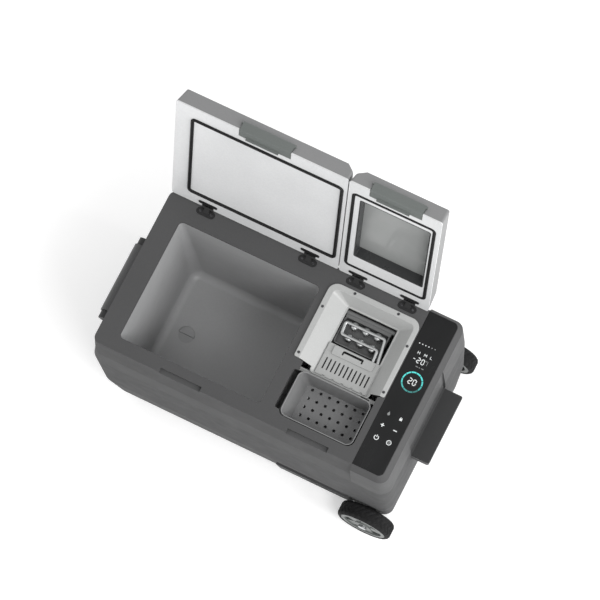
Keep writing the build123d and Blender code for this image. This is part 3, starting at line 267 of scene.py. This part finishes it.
def painted(name, colour, roughness=0.35):
    """Enamel on sheet steel, with orange peel and chipped edges."""
    s = Shader(name)
    peel = s.noise(420.0, 2.0)
    chips = s.math("MULTIPLY", s.edges(0.0008), s.ramp(s.noise(150.0, 5.0), 0.55, 0.62, 0.0, 1.0))
    base = s.mix(s.spread(s.noise(14.0), 0.0, 1.0), tint(colour, 0.94), tint(colour, 1.06))
    base = s.mix(s.math("MULTIPLY", chips, 0.7), base, (0.32, 0.32, 0.33, 1.0))
    s.link(base, s.shader.inputs["Base Color"])
    s.link(s.spread(s.noise(60.0, 4.0), roughness - 0.06, roughness + 0.08), s.shader.inputs["Roughness"])
    s.link(s.bump(peel, 0.3, 0.00005, s.soft_edge(0.0008)), s.shader.inputs["Normal"])
    return s.material


def rubber(name, colour, roughness=0.75, bloom=0.5):
    """Vulcanised rubber with a pale bloom and a matt skin."""
    s = Shader(name)
    dust = s.ramp(s.noise(55.0, 5.0), 0.42, 0.72, 0.0, bloom)
    base = s.mix(dust, tint(colour, 1.0), tint(colour, 2.2))
    s.link(base, s.shader.inputs["Base Color"])
    s.link(s.spread(s.noise(120.0, 4.0), roughness - 0.08, roughness + 0.08), s.shader.inputs["Roughness"])
    s.link(s.bump(s.noise(2200.0, 2.0), 0.5, 0.00005, s.soft_edge(0.0005)), s.shader.inputs["Normal"])
    s.shader.inputs["Specular IOR Level"].default_value = 0.3
    return s.material


def touch_glass(name):
    """A black printed touch panel with a fine polish and faint smears."""
    s = Shader(name)
    smear = s.noise(26.0, 5.0, (1.0, 0.35, 1.0))
    base = s.mix(s.spread(smear, 0.0, 1.0), (0.0090, 0.0092, 0.0095, 1.0), (0.0125, 0.0128, 0.0132, 1.0))
    s.link(base, s.shader.inputs["Base Color"])
    s.link(s.ramp(smear, 0.35, 0.75, 0.16, 0.30), s.shader.inputs["Roughness"])
    s.link(s.bump(s.noise(900.0, 2.0), 0.1, 0.00001, s.soft_edge(0.0006)), s.shader.inputs["Normal"])
    s.shader.inputs["Specular IOR Level"].default_value = 0.22
    return s.material


def smoked_window(name):
    """Clear plastic with a smoke tint, a slight ripple and fine scratches."""
    s = Shader(name)
    scratch = s.noise(240.0, 4.0, (1.0, 0.15, 0.4))
    base = s.mix(s.spread(s.noise(7.0), 0.0, 1.0), (0.36, 0.37, 0.365, 1.0), (0.41, 0.42, 0.415, 1.0))
    s.link(base, s.shader.inputs["Base Color"])
    s.link(s.ramp(scratch, 0.45, 0.75, 0.04, 0.14), s.shader.inputs["Roughness"])
    s.link(s.bump(s.noise(18.0, 2.0), 0.15, 0.0002), s.shader.inputs["Normal"])
    s.shader.inputs["Alpha"].default_value = 0.72
    s.shader.inputs["IOR"].default_value = 1.49
    return s.material


def foam(name):
    """Poured polyurethane foam with open cells and a yellowish skin."""
    s = Shader(name)
    cell = s.cells(420.0)
    base = s.mix(s.spread(s.noise(20.0, 5.0), 0.0, 1.0), (0.66, 0.56, 0.33, 1.0), (0.80, 0.71, 0.47, 1.0))
    s.link(base, s.shader.inputs["Base Color"])
    s.link(s.ramp(cell, 0.0, 0.8, 0.95, 0.75), s.shader.inputs["Roughness"])
    s.link(s.bump(cell, 0.7, 0.0006), s.shader.inputs["Normal"])
    return s.material


def board(name):
    """A green circuit board with copper tracks under the mask."""
    s = Shader(name)
    track = s.cells(260.0, "DISTANCE_TO_EDGE")
    base = s.mix(s.ramp(track, 0.02, 0.05, 1.0, 0.0), (0.010, 0.075, 0.035, 1.0), (0.03, 0.16, 0.07, 1.0))
    s.link(base, s.shader.inputs["Base Color"])
    s.link(s.spread(s.noise(80.0), 0.25, 0.45), s.shader.inputs["Roughness"])
    s.link(s.bump(track, 0.3, 0.0001), s.shader.inputs["Normal"])
    return s.material


def glow(name, colour, strength):
    """Light behind a printed symbol, a little uneven like a diffused lamp."""
    s = Shader(name)
    spread = s.spread(s.noise(160.0, 2.0), 0.86, 1.0)
    base = s.mix(spread, tint(colour, 0.8), tint(colour, 1.0))
    s.link(base, s.shader.inputs["Emission Color"])
    s.link(s.spread(s.noise(90.0), 0.3, 0.45), s.shader.inputs["Roughness"])
    s.shader.inputs["Base Color"].default_value = (0.02, 0.02, 0.02, 1.0)
    s.shader.inputs["Emission Strength"].default_value = strength
    return s.material


def floor_paint(name):
    """A pale seamless sweep with barely visible mottling."""
    s = Shader(name)
    base = s.mix(s.spread(s.noise(1.5), 0.0, 1.0), (0.86, 0.86, 0.86, 1.0), (0.90, 0.90, 0.90, 1.0))
    s.link(base, s.shader.inputs["Base Color"])
    s.link(s.spread(s.noise(30.0), 0.85, 0.95), s.shader.inputs["Roughness"])
    s.shader.inputs["Emission Color"].default_value = (1.0, 1.0, 1.0, 1.0)
    s.shader.inputs["Emission Strength"].default_value = FLOOR_GLOW
    return s.material


DECK = (0.078, 0.078, 0.079)
BODY = (0.066, 0.0665, 0.0675)
# The belt is the body's own plastic with painted light: its colour is lighter than BODY to stand in for the
# extra light on its up-facing slope.
BELT_PAINTED_LIGHTER = (0.090, 0.0905, 0.0915)
LID = (0.240, 0.241, 0.243)
PANEL = (0.68, 0.685, 0.69)
LINER = (0.36, 0.362, 0.365)
PLUG = (0.31, 0.312, 0.315)
FRAME = (0.40, 0.405, 0.40)
GRILLE = (0.36, 0.365, 0.36)
TRAY = (0.125, 0.127, 0.127)
BASKET = (0.215, 0.216, 0.218)
OUTSIDE_TEXTURE = {"grain": 1300.0, "wear": 0.25, "specular": 0.06}
LINER_TEXTURE = {"grain": 900.0, "grain_depth": 0.00002}
ICE_TEXTURE = {"grain": 1100.0, "grain_depth": 0.00002}
GRIP_TEXTURE = {"grain": 900.0, "grain_depth": 0.00006}

MATERIALS = {
    "body_plastic": plastic("body_plastic", BODY, 0.58, **OUTSIDE_TEXTURE),
    # the belt's finish: the body plastic with a painted lighter colour for the light on its up-facing slope
    "belt_plastic": plastic("belt_plastic", BELT_PAINTED_LIGHTER, 0.56, **OUTSIDE_TEXTURE),
    "deck_plastic": plastic("deck_plastic", DECK, 0.60, grain=1500.0, wear=0.25, specular=0.05),
    "glass_black": touch_glass("glass_black"),
    "board_green": board("board_green"),
    "liner_plastic": plastic("liner_plastic", LINER, 0.42, wear=0.15, **LINER_TEXTURE),
    "plug_plastic": plastic("plug_plastic", PLUG, 0.42, wear=0.5, **LINER_TEXTURE),
    "evaporator_aluminium": metal("evaporator_aluminium", (0.75, 0.76, 0.78), 0.35),
    "foam_cream": foam("foam_cream"),
    "pipe_plastic": plastic("pipe_plastic", (0.02, 0.02, 0.021), 0.45),
    "frame_plastic": plastic("frame_plastic", FRAME, 0.36, wear=0.2, **ICE_TEXTURE),
    "grille_plastic": plastic("grille_plastic", GRILLE, 0.38, wear=0.2, **ICE_TEXTURE),
    "tray_plastic": plastic("tray_plastic", TRAY, 0.36, wear=0.5, **ICE_TEXTURE),
    "basket_plastic": plastic("basket_plastic", BASKET, 0.42, wear=0.4, **ICE_TEXTURE),
    "screw_steel": metal("screw_steel", (0.10, 0.10, 0.105), 0.38),
    "finger_steel": metal("finger_steel", (0.62, 0.63, 0.63), 0.30, (90.0, 90.0, 90.0)),
    "motor_plastic": plastic("motor_plastic", (0.03, 0.03, 0.032), 0.45),
    "sheet_steel": metal("sheet_steel", (0.55, 0.56, 0.57), 0.42, (20.0, 300.0, 20.0)),
    "compressor_black": painted("compressor_black", (0.018, 0.018, 0.019)),
    "fin_aluminium": metal("fin_aluminium", (0.70, 0.71, 0.73), 0.38),
    "fan_plastic": plastic("fan_plastic", (0.022, 0.022, 0.024), 0.5),
    "copper_pipe": metal("copper_pipe", (0.72, 0.38, 0.24), 0.28),
    "lid_plastic": plastic("lid_plastic", LID, 0.50, grain=1300.0, specular=0.22),
    "panel_plastic": plastic("panel_plastic", PANEL, 0.33, grain=700.0, grain_depth=0.00001, wear=0.1),
    "window_dark": plastic("window_dark", (0.035, 0.036, 0.037), 0.30, grain=900.0, grain_depth=0.00001),
    "window_tint": smoked_window("window_tint"),
    "seal_rubber": rubber("seal_rubber", (0.0055, 0.0055, 0.0058), 0.62, 0.35),
    "latch_plastic": plastic("latch_plastic", (0.128, 0.140, 0.134), 0.40, grain=1000.0, wear=0.6),
    "hinge_plastic": plastic("hinge_plastic", (0.008, 0.008, 0.0085), 0.45, wear=0.5),
    "pin_steel": metal("pin_steel", (0.45, 0.46, 0.47), 0.25),
    "handle_plastic": plastic("handle_plastic", (0.024, 0.0243, 0.025), 0.55, **GRIP_TEXTURE),
    "grip_plastic": plastic("grip_plastic", (0.080, 0.0805, 0.082), 0.52, **GRIP_TEXTURE),
    "tyre_rubber": rubber("tyre_rubber", (0.0065, 0.0065, 0.0068), 0.80, 0.5),
    "rim_plastic": plastic("rim_plastic", (0.125, 0.134, 0.130), 0.42),
    "foot_rubber": rubber("foot_rubber", (0.014, 0.014, 0.0145)),
    "inlet_plastic": plastic("inlet_plastic", (0.010, 0.010, 0.011), 0.25),
}
# finishes that differ from the material slot's own
OVERRIDES = {"ice_tray": "tray_plastic", "drain_plug": "plug_plastic"}


def paint_nodes():
    """Every carried-over CAD node gets its finish."""
    for entry in frame["record"]["subparts"]:
        node = entry["node"]
        material = MATERIALS[OVERRIDES.get(node, entry["material_slot"])]
        mesh = NODES[node].data
        mesh.materials.clear()
        mesh.materials.append(material)


LARGE_PARTS = ("body_shell", "shoulder_belt", "deck_frame", "control_housing", "right_handle", "left_handle")
SMALL_PARTS = ("ice_frame", "ice_basket", "left_handle_brackets", "front_vent")
SHARP_ANGLE = math.radians(35.0)


def soften(node, width):
    """Rounds a CAD node's sharp edges with a modifier."""
    bevel = NODES[node].modifiers.new("soft_edges", "BEVEL")
    bevel.width = width
    bevel.segments = 2
    bevel.limit_method = "ANGLE"
    bevel.angle_limit = SHARP_ANGLE
    bevel.use_clamp_overlap = True
    bevel.harden_normals = False


# ---------------------------------------------------------------------------
# Mesh helpers
# ---------------------------------------------------------------------------
def new_piece(name, bm, body, slot, replaced=(), smooth=True, material=None):
    """A finished mesh piece, painted and riding on its body."""
    mesh = bpy.data.meshes.new(name)
    bm.normal_update()
    bm.to_mesh(mesh)
    bm.free()
    piece = bpy.data.objects.new(name, mesh)
    scene.collection.objects.link(piece)
    mesh.materials.append(material or MATERIALS[slot])
    for polygon in mesh.polygons:
        polygon.use_smooth = smooth
    if replaced:
        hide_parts(*replaced)
    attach(piece, body)


def lathe(bm, centre, axis, across, profile, steps, ripple=None):
    """Turns a profile of (radius, along) points about an axis."""
    up = axis.cross(across)
    rings = []
    for i in range(steps):
        angle = 2 * math.pi * i / steps
        outward = across * math.cos(angle) + up * math.sin(angle)
        ring = []
        for j, (radius, along) in enumerate(profile):
            grow = ripple(i, j) if ripple else 0.0
            ring.append(bm.verts.new(centre + outward * (radius + grow) + axis * along))
        rings.append(ring)
    for i in range(steps):
        a = rings[i]
        b = rings[(i + 1) % steps]
        for j in range(len(profile) - 1):
            bm.faces.new((a[j], b[j], b[j + 1], a[j + 1]))


# ---------------------------------------------------------------------------
# Wheels
# ---------------------------------------------------------------------------
TYRE_BORE = 0.0502  # inner radius, where the rim begins
TYRE_STEPS = 240
RIBS = 8
RIB_START = 0.0055  # from the tyre's side to its first rib
RIB_PROFILE = ((0.0011, 0.0), (0.0001, 0.18), (0.0001, 0.68), (0.0011, 0.86))  # depth, and share of the pitch
FIRST_RIB_POINT = 5
LUG_PERIOD = 8
LUG_CUT = 3  # steps of each period that are cut away
LUG_DEPTH = 0.0016
SHOULDER_CUT = 0.0012


def make_tyre(name, node, body):
    """A solid tyre with rounded shoulders, its running ribs cut across in a zigzag."""
    low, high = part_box(node)
    centre = (Vector(low) + Vector(high)) / 2
    radius = (high[2] - low[2]) / 2
    half = (high[1] - low[1]) / 2
    side = [
        (TYRE_BORE, half - 0.0015),
        (TYRE_BORE + 0.0012, half - 0.0002),
        (TYRE_BORE + 0.0040, half),
        (radius - 0.0042, half - 0.0010),
        (radius - 0.0016, half - 0.0030),
    ]
    pitch = 2 * (half - RIB_START) / RIBS
    profile = [(r, -along) for r, along in side]
    for i in range(RIBS):
        y = RIB_START - half + pitch * i
        profile += [(radius - depth, y + pitch * share) for depth, share in RIB_PROFILE]
    profile += side[::-1]
    profile.append(profile[0])
    shoulder = {3, 4, len(profile) - 6, len(profile) - 5}

    def ripple(i, j):
        if j in shoulder:
            return -SHOULDER_CUT if i % LUG_PERIOD < LUG_CUT else 0.0
        rib, part = divmod(j - FIRST_RIB_POINT, len(RIB_PROFILE))
        if 0 <= rib < RIBS and part in (1, 2):
            lean = rib if rib < RIBS / 2 else RIBS - 1 - rib
            return -LUG_DEPTH if (i + 2 * lean) % LUG_PERIOD < LUG_CUT else 0.0
        return 0.0

    bm = bmesh.new()
    lathe(bm, centre, Vector((0, 1, 0)), Vector((1, 0, 0)), profile, TYRE_STEPS, ripple)
    bmesh.ops.remove_doubles(bm, verts=bm.verts, dist=1e-7)
    bmesh.ops.recalc_face_normals(bm, faces=bm.faces)
    new_piece(name, bm, body, "tyre_rubber", (node,))


# ---------------------------------------------------------------------------
# Lids: seals, bevelled walls and foam
# ---------------------------------------------------------------------------
OPEN_ANGLE = math.radians(103.4)
LID_IN = 0.001  # inner and outer face, from the hinge's axis
LID_OUT = 0.044
LEFT_LID_EDGE = 0.053  # x of the edges that face each other
RIGHT_LID_EDGE = 0.0555
LID_Y = Vector((0, math.cos(OPEN_ANGLE), -math.sin(OPEN_ANGLE)))
LID_Z = Vector((0, math.sin(OPEN_ANGLE), math.cos(OPEN_ANGLE)))


def joint(name):
    """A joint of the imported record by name."""
    return next(j for j in frame["record"]["behaviour"]["joints"] if j["name"] == name)


HINGE = Vector((0, *joint("left_lid_hinge")["pos_m"][1:]))


def on_lid(x, y, z):
    """A point given in the lid's own directions, in metres."""
    return Vector((x, 0, 0)) + HINGE + LID_Y * y + LID_Z * z


def rounded_loop(x, y, radius, corner_steps=8):
    """Points and outward directions round a rounded rectangle."""
    points = []
    corners = (
        (x[1] - radius, y[1] - radius, 0.0),
        (x[0] + radius, y[1] - radius, 90.0),
        (x[0] + radius, y[0] + radius, 180.0),
        (x[1] - radius, y[0] + radius, 270.0),
    )
    for cx, cy, start in corners:
        for i in range(corner_steps + 1):
            angle = math.radians(start + 90.0 * i / corner_steps)
            out = (math.cos(angle), math.sin(angle))
            points.append((cx + radius * out[0], cy + radius * out[1], out[0], out[1]))
    return points


SEALS = (
    # name, node, body, x and y on the lid, height
    ("left_lid_seal", "left_lid_gasket", "left_lid", (-0.2885, 0.0460), (-0.3250, -0.0370), 0.0046),
    ("right_lid_seal", "right_lid_gasket", "right_lid", (0.0642, 0.2462), (-0.3265, -0.0358), 0.0020),
)
SEAL_WIDTH = 0.0070
SEAL_CORNER_R = 0.012
SEAL_PROFILE = (
    # share of the width, inwards, and share of the height
    (0.0, 0.0), (0.0, 0.35), (0.10, 0.72), (0.28, 0.97), (0.45, 1.0), (0.60, 0.93),
    (0.68, 0.62), (0.74, 0.55), (0.80, 0.62), (0.93, 0.60), (1.0, 0.40), (1.0, 0.0),
)


def make_gasket(name, node, body, x, y, proud, width):
    """A bulb seal: a flat foot, a rounded lip and a groove along its inner side."""
    bm = bmesh.new()
    rows = []
    for px, py, ox, oy in rounded_loop(x, y, SEAL_CORNER_R):
        row = []
        for across, height in SEAL_PROFILE:
            inset = across * width
            at = on_lid(px - ox * inset, py - oy * inset, LID_IN - height * proud)
            row.append(bm.verts.new(at))
        rows.append(row)
    for i, a in enumerate(rows):
        b = rows[(i + 1) % len(rows)]
        for j in range(len(SEAL_PROFILE)):
            k = (j + 1) % len(SEAL_PROFILE)
            bm.faces.new((a[j], b[j], b[k], a[k]))
    bmesh.ops.recalc_face_normals(bm, faces=bm.faces)
    new_piece(name, bm, body, "seal_rubber", (node,))


BEVEL_ACROSS = (0.002, 0.020)  # the bevel's two edges, from the edge of the lid
BEVEL_FALL = 0.017
WALL_ACROSS = (0.0042, 0.0182)  # the part of the bevel that the wall covers
WALL_SKINS = (-0.0014, 0.0002)  # inner and outer skin, from the bevel's plane
WALL_ENDS = ((-0.3615, 0.017), (0.0011, -0.006))  # y at the inner face, and draft
WALL_FACES = ((0, 1, 3, 2), (4, 6, 7, 5), (0, 4, 5, 1), (2, 3, 7, 6), (0, 2, 6, 4), (1, 5, 7, 3))
WALL_EDGE = 0.00018


def make_bevel_wall(name, body, x_edge, side):
    """The thin wall along the bevel of a lid, where it faces the other lid."""
    slope = BEVEL_FALL / (BEVEL_ACROSS[1] - BEVEL_ACROSS[0])
    length = math.hypot(1.0, slope)
    bm = bmesh.new()
    corners = []
    for across in WALL_ACROSS:
        level = LID_OUT - slope * (BEVEL_ACROSS[1] - across)
        t = (level - LID_IN) / (LID_OUT - LID_IN)
        for end, draft in WALL_ENDS:
            for out in WALL_SKINS:
                x = x_edge + side * (across - slope / length * out)
                corners.append(bm.verts.new(on_lid(x, end + draft * t, level + out / length)))
    for face in WALL_FACES:
        bm.faces.new([corners[i] for i in face])
    bmesh.ops.recalc_face_normals(bm, faces=bm.faces)
    outer = [e for e in bm.edges if all(v in corners[1::2] for v in e.verts)]
    bmesh.ops.bevel(bm, geom=outer, offset=WALL_EDGE, segments=2, affect="EDGES")
    new_piece(name, bm, body, "lid_plastic", smooth=False)


FOAM_LEVELS = (0.0042, 0.0259, 0.0405)
FOAM_ACROSS = (0.0038, 0.0053, 0.0208)  # foam edge from the lid's edge, at each level
FOAM_FRONT = (-0.3484, -0.3484, -0.3435)
FOAM_REAR = -0.024
WINDOW_HOLE = (0.0815, 0.2365, -0.3092, -0.0812)


def make_foam_core(name, node, body, x_edge, side, x_far, hole=None):
    """The foam inside a lid, clear of its bevelled wall and round its window."""
    bm = bmesh.new()

    def loop(level, near, far, front, rear):
        corners = ((near, front), (far, front), (far, rear), (near, rear))
        return [bm.verts.new(on_lid(x, y, level)) for x, y in corners]

    outer = [
        loop(level, x_edge + side * across, x_far, front, FOAM_REAR)
        for level, across, front in zip(FOAM_LEVELS, FOAM_ACROSS, FOAM_FRONT)
    ]
    stacks = [outer]
    if hole:
        inner = [loop(level, *hole) for level in (FOAM_LEVELS[0], FOAM_LEVELS[2])]
        stacks.append(inner)
        for end in (0, -1):
            for i in range(4):
                j = (i + 1) % 4
                bm.faces.new((outer[end][i], outer[end][j], inner[end][j], inner[end][i]))
    else:
        bm.faces.new(outer[0])
        bm.faces.new(outer[-1])
    for stack in stacks:
        for low, high in zip(stack, stack[1:]):
            for i in range(4):
                j = (i + 1) % 4
                bm.faces.new((low[i], low[j], high[j], high[i]))
    bmesh.ops.recalc_face_normals(bm, faces=bm.faces)
    new_piece(name, bm, body, "foam_cream", (node,), smooth=False)


# ---------------------------------------------------------------------------
# Screws
# ---------------------------------------------------------------------------
SCREW_STEPS = 24
SCREW_PROFILE = ((0.45, 1.0), (0.85, 0.72), (1.0, 0.30), (1.0, 0.0))  # shares of the radius and height
CENTRE_HEIGHT = 0.93
RECESS_DEPTH = 0.62  # share of the height
RECESS_HALF_ANGLE = 0.24
RECESS_FLARE = 1.25


def add_screw(bm, at, radius, height, turn):
    """A pan head with a cross recess, standing on its deck."""
    loops = []
    for share, level in SCREW_PROFILE:
        loop = []
        for i in range(SCREW_STEPS):
            a = 2 * math.pi * i / SCREW_STEPS
            r = radius * share
            z = at[2] + height * level
            quarter = (a - turn) % (math.pi / 2)
            if share < 0.5 and min(quarter, math.pi / 2 - quarter) < RECESS_HALF_ANGLE:
                r *= RECESS_FLARE
                z -= height * RECESS_DEPTH
            loop.append(bm.verts.new((at[0] + r * math.cos(a), at[1] + r * math.sin(a), z)))
        loops.append(loop)
    middle = bm.verts.new((at[0], at[1], at[2] + height * (CENTRE_HEIGHT - RECESS_DEPTH)))
    for i in range(SCREW_STEPS):
        j = (i + 1) % SCREW_STEPS
        bm.faces.new((middle, loops[0][i], loops[0][j]))
        for a, b in zip(loops, loops[1:]):
            bm.faces.new((a[i], b[i], b[j], a[j]))


def screw_spots(node, gap):
    """The centres of a node's separate screws, from its mesh islands."""
    mesh = NODES[node].data
    spots = []
    for vertex in mesh.vertices:
        p = vertex.co
        home = next((s for s in spots if (s[0] - p).xy.length < gap), None)
        if home is None:
            spots.append([p.copy(), [p.copy()]])
        else:
            home[1].append(p.copy())
    centres = []
    for _, points in spots:
        xs = [p.x for p in points]
        ys = [p.y for p in points]
        centres.append(((min(xs) + max(xs)) / 2, (min(ys) + max(ys)) / 2, max(p.z for p in points)))
    return centres


def make_screws(name, node, body, radius, height, gap, slot):
    """Detailed heads over every screw of a CAD node."""
    random.seed(7)
    bm = bmesh.new()
    for x, y, top in screw_spots(node, gap):
        add_screw(bm, (x, y, top - height), radius, height, random.uniform(0, math.pi / 2))
    bmesh.ops.recalc_face_normals(bm, faces=bm.faces)
    new_piece(name, bm, body, slot, (node,), smooth=False)


# ---------------------------------------------------------------------------
# Display graphics, printed on the touch panel; in millimetres from the body's middle
# ---------------------------------------------------------------------------
GLASS_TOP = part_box("control_glass")[1][2]
INK = 0.00012
INK_GAP = 0.00002


def flat_polygon(bm, points):
    """A thin printed shape on the glass."""
    low = GLASS_TOP + INK_GAP
    base = [bm.verts.new((x / 1000, y / 1000 + SHIFT_Y, low)) for x, y in points]
    top = [bm.verts.new((v.co.x, v.co.y, low + INK)) for v in base]
    bm.faces.new(top)
    bm.faces.new(list(reversed(base)))
    count = len(points)
    for i in range(count):
        j = (i + 1) % count
        bm.faces.new((base[i], base[j], top[j], top[i]))


def bar(bm, a, b, width):
    """A straight stroke with square ends."""
    direction = Vector((b[0] - a[0], b[1] - a[1])).normalized()
    side = Vector((-direction.y, direction.x)) * width / 2
    flat_polygon(bm, [(a[0] + side.x, a[1] + side.y), (a[0] - side.x, a[1] - side.y),
                      (b[0] - side.x, b[1] - side.y), (b[0] + side.x, b[1] + side.y)])


def arc(bm, centre, radius, start, end, width, steps=10):
    """A curved stroke between two angles in degrees."""
    for i in range(steps):
        a0 = math.radians(start + (end - start) * i / steps)
        a1 = math.radians(start + (end - start) * (i + 1) / steps)
        inner = radius - width / 2
        outer = radius + width / 2
        corners = ((a0, inner), (a1, inner), (a1, outer), (a0, outer))
        flat_polygon(bm, [(centre[0] + r * math.cos(a), centre[1] + r * math.sin(a)) for a, r in corners])


SEGMENTS = {"0": "abcdef", "2": "abged", "-": "g"}
DIGIT_ASPECT = 0.52
DIGIT_GAP = 0.35  # share of the stroke left open between segments


def digit(bm, char, x, y, height, stroke):
    """A seven-segment digit with its lower left corner at x, y."""
    width = height * DIGIT_ASPECT
    half = height / 2
    gap = stroke * DIGIT_GAP
    places = {
        "a": ((x + gap, y + height), (x + width - gap, y + height)),
        "g": ((x + gap, y + half), (x + width - gap, y + half)),
        "d": ((x + gap, y), (x + width - gap, y)),
        "f": ((x, y + half + gap), (x, y + height - gap)),
        "b": ((x + width, y + half + gap), (x + width, y + height - gap)),
        "e": ((x, y + gap), (x, y + half - gap)),
        "c": ((x + width, y + gap), (x + width, y + half - gap)),
    }
    for key in SEGMENTS[char]:
        bar(bm, *places[key], stroke)


WHITE = (0.90, 0.93, 0.93)
CYAN = (0.08, 0.78, 0.74)
LEVEL_DOTS = 6
LIT_DOTS = 4
LETTERS_Y = 84.6
LETTERS = (
    # x, then strokes from one point to another with a width: three letters for the protection level
    (274.6, ((0, 0, 0, 5.6, 1.0), (4.2, 0, 4.2, 5.6, 1.0), (0.5, 2.8, 3.7, 2.8, 0.9))),
    (289.2, ((-0.4, 0, -0.4, 5.6, 1.0), (4.8, 0, 4.8, 5.6, 1.0),
             (0, 5.6, 2.2, 2.0, 0.9), (2.2, 2.0, 4.4, 5.6, 0.9))),
    (302.4, ((0, 0, 0, 5.6, 1.0), (0.5, 0.4, 3.6, 0.4, 0.9))),
)
READING_Y = 67.4
READING_HEIGHT = 10.5
SETTING_Y = 22.0
SETTING_HEIGHT = 11.5
PLUS = (277.5, -77.4)
MINUS = (305.4, -77.7)
POWER = (277.8, -105.7)
TIMER = (305.1, -104.8)
LOCK = (305.4, -50.0)
DROP = (278.5, -52.2)
RING = (291.3, 26.8)
RING_RADIUS = 20.6
RING_START = 60.0
RING_STEP = 30.0
RING_GAP = 1.5
RING_STRENGTHS = (1.0, 1.0, 1.0, 0.95, 0.75, 0.55, 0.35, 0.2, 0.12, 0.5, 0.85, 1.0)


def draw_levels(bright, dim):
    """A row of level dots, and the letters below it."""
    for i in range(LEVEL_DOTS):
        target = bright if i < LIT_DOTS else dim
        arc(target, (269.0 + 6.8 * i, 106.0 + 0.2 * i), 0.62, 0, 360, 1.2, 12)
    for x, strokes in LETTERS:
        for x0, y0, x1, y1, width in strokes:
            bar(bright, (x + x0, LETTERS_Y + y0), (x + x1, LETTERS_Y + y1), width)


def draw_readings(bright, dim):
    """The cabin's reading with its degree sign and small marks, and the setting in the ring."""
    digit(bright, "-", 271.0, READING_Y, READING_HEIGHT, 1.5)
    digit(bright, "2", 280.2, READING_Y, READING_HEIGHT, 1.7)
    digit(bright, "0", 289.6, READING_Y, READING_HEIGHT, 1.7)
    arc(dim, (299.0, 77.2), 1.1, 0, 360, 0.7, 12)
    bar(dim, (302.0, 78.0), (302.0, 69.0), 0.9)
    for x0, x1 in ((283.0, 288.0), (290.0, 293.0), (295.5, 300.5)):
        bar(dim, (x0, 59.8), (x1, 59.4), 1.6)
    digit(bright, "2", 283.2, SETTING_Y, SETTING_HEIGHT, 1.8)
    digit(bright, "0", 293.0, SETTING_Y, SETTING_HEIGHT, 1.8)


def draw_symbols(bright, dim):
    """The touch symbols: plus, minus, power, timer, lock and drop."""
    bar(bright, (PLUS[0] - 3.9, PLUS[1]), (PLUS[0] + 3.9, PLUS[1]), 2.0)
    bar(bright, (PLUS[0], PLUS[1] + 1.05), (PLUS[0], PLUS[1] + 3.9), 2.0)
    bar(bright, (PLUS[0], PLUS[1] - 3.9), (PLUS[0], PLUS[1] - 1.05), 2.0)
    bar(bright, (MINUS[0] - 3.9, MINUS[1]), (MINUS[0] + 3.9, MINUS[1]), 2.0)
    arc(bright, POWER, 4.4, 120, 420, 1.6, 22)
    bar(bright, (POWER[0], POWER[1] + 1.1), (POWER[0], POWER[1] + 6.1), 1.5)
    arc(bright, TIMER, 4.6, 0, 360, 1.5, 28)
    arc(dim, TIMER, 1.9, 0, 360, 1.4, 16)
    lock = ((-2.8, -4.6), (2.8, -4.6), (2.8, 0.0), (-2.8, 0.0))
    flat_polygon(bright, [(LOCK[0] + x, LOCK[1] + y) for x, y in lock])
    arc(bright, LOCK, 1.9, 0, 180, 1.0, 10)
    drop = []
    for i in range(20):
        a = math.radians(-210 + 240 * i / 19)
        drop.append((DROP[0] + 2.7 * math.cos(a), DROP[1] + 2.7 * math.sin(a)))
    drop.append((DROP[0], DROP[1] + 6.2))
    flat_polygon(dim, drop)


def make_display():
    """Level dots, readings, the touch symbols and the setting ring."""
    bright = bmesh.new()
    dim = bmesh.new()
    draw_levels(bright, dim)
    draw_readings(bright, dim)
    draw_symbols(bright, dim)
    for name, marks, paint, strength in (
        ("display_bright_marks", bright, "glow_white", 0.95),
        ("display_dim_marks", dim, "glow_dim", 0.28),
    ):
        material = glow(paint, WHITE, strength)
        new_piece(name, marks, "cabinet", "glass_black", smooth=False, material=material)
    for i, strength in enumerate(RING_STRENGTHS):
        ring = bmesh.new()
        start = RING_START + RING_STEP * i
        arc(ring, RING, RING_RADIUS, start + RING_GAP, start + RING_STEP - RING_GAP, 3.0, 10)
        material = glow(f"glow_ring_{i}", CYAN, 0.15 + 0.85 * strength)
        new_piece(f"display_ring_{i}", ring, "cabinet", "glass_black", smooth=False, material=material)


def make_floor():
    """The pale floor that the part stands on."""
    bm = bmesh.new()
    bmesh.ops.create_grid(bm, x_segments=2, y_segments=2, size=FLOOR_SIZE)
    mesh = bpy.data.meshes.new("floor")
    bm.to_mesh(mesh)
    bm.free()
    floor = bpy.data.objects.new("floor", mesh)
    scene.collection.objects.link(floor)
    mesh.materials.append(floor_paint("floor_paint"))


# ---------------------------------------------------------------------------
# Build
# ---------------------------------------------------------------------------
set_camera()
set_light()
paint_nodes()

for node in LARGE_PARTS:
    soften(node, 0.0009)
for node in SMALL_PARTS:
    soften(node, 0.0005)

make_tyre("front_tyre_rubber", "front_tyre", "front_wheel")
make_tyre("rear_tyre_rubber", "rear_tyre", "rear_wheel")
for seal in SEALS:
    make_gasket(*seal, SEAL_WIDTH)
make_bevel_wall("left_lid_bevel_wall", "left_lid", LEFT_LID_EDGE, -1)
make_bevel_wall("right_lid_bevel_wall", "right_lid", RIGHT_LID_EDGE, 1)
make_foam_core("left_lid_foam_core", "left_lid_foam", "left_lid", LEFT_LID_EDGE, -1, -0.3165)
make_foam_core(
    "right_lid_foam_core", "right_lid_foam", "right_lid", RIGHT_LID_EDGE, 1, 0.2490, WINDOW_HOLE
)
make_screws("frame_screw_heads", "frame_screws", "cabinet", 0.0030, 0.0012, 0.010, "screw_steel")
make_screws("hinge_screw_heads", "hinge_screws", "cabinet", 0.0028, 0.0014, 0.010, "screw_steel")
make_display()
make_floor()
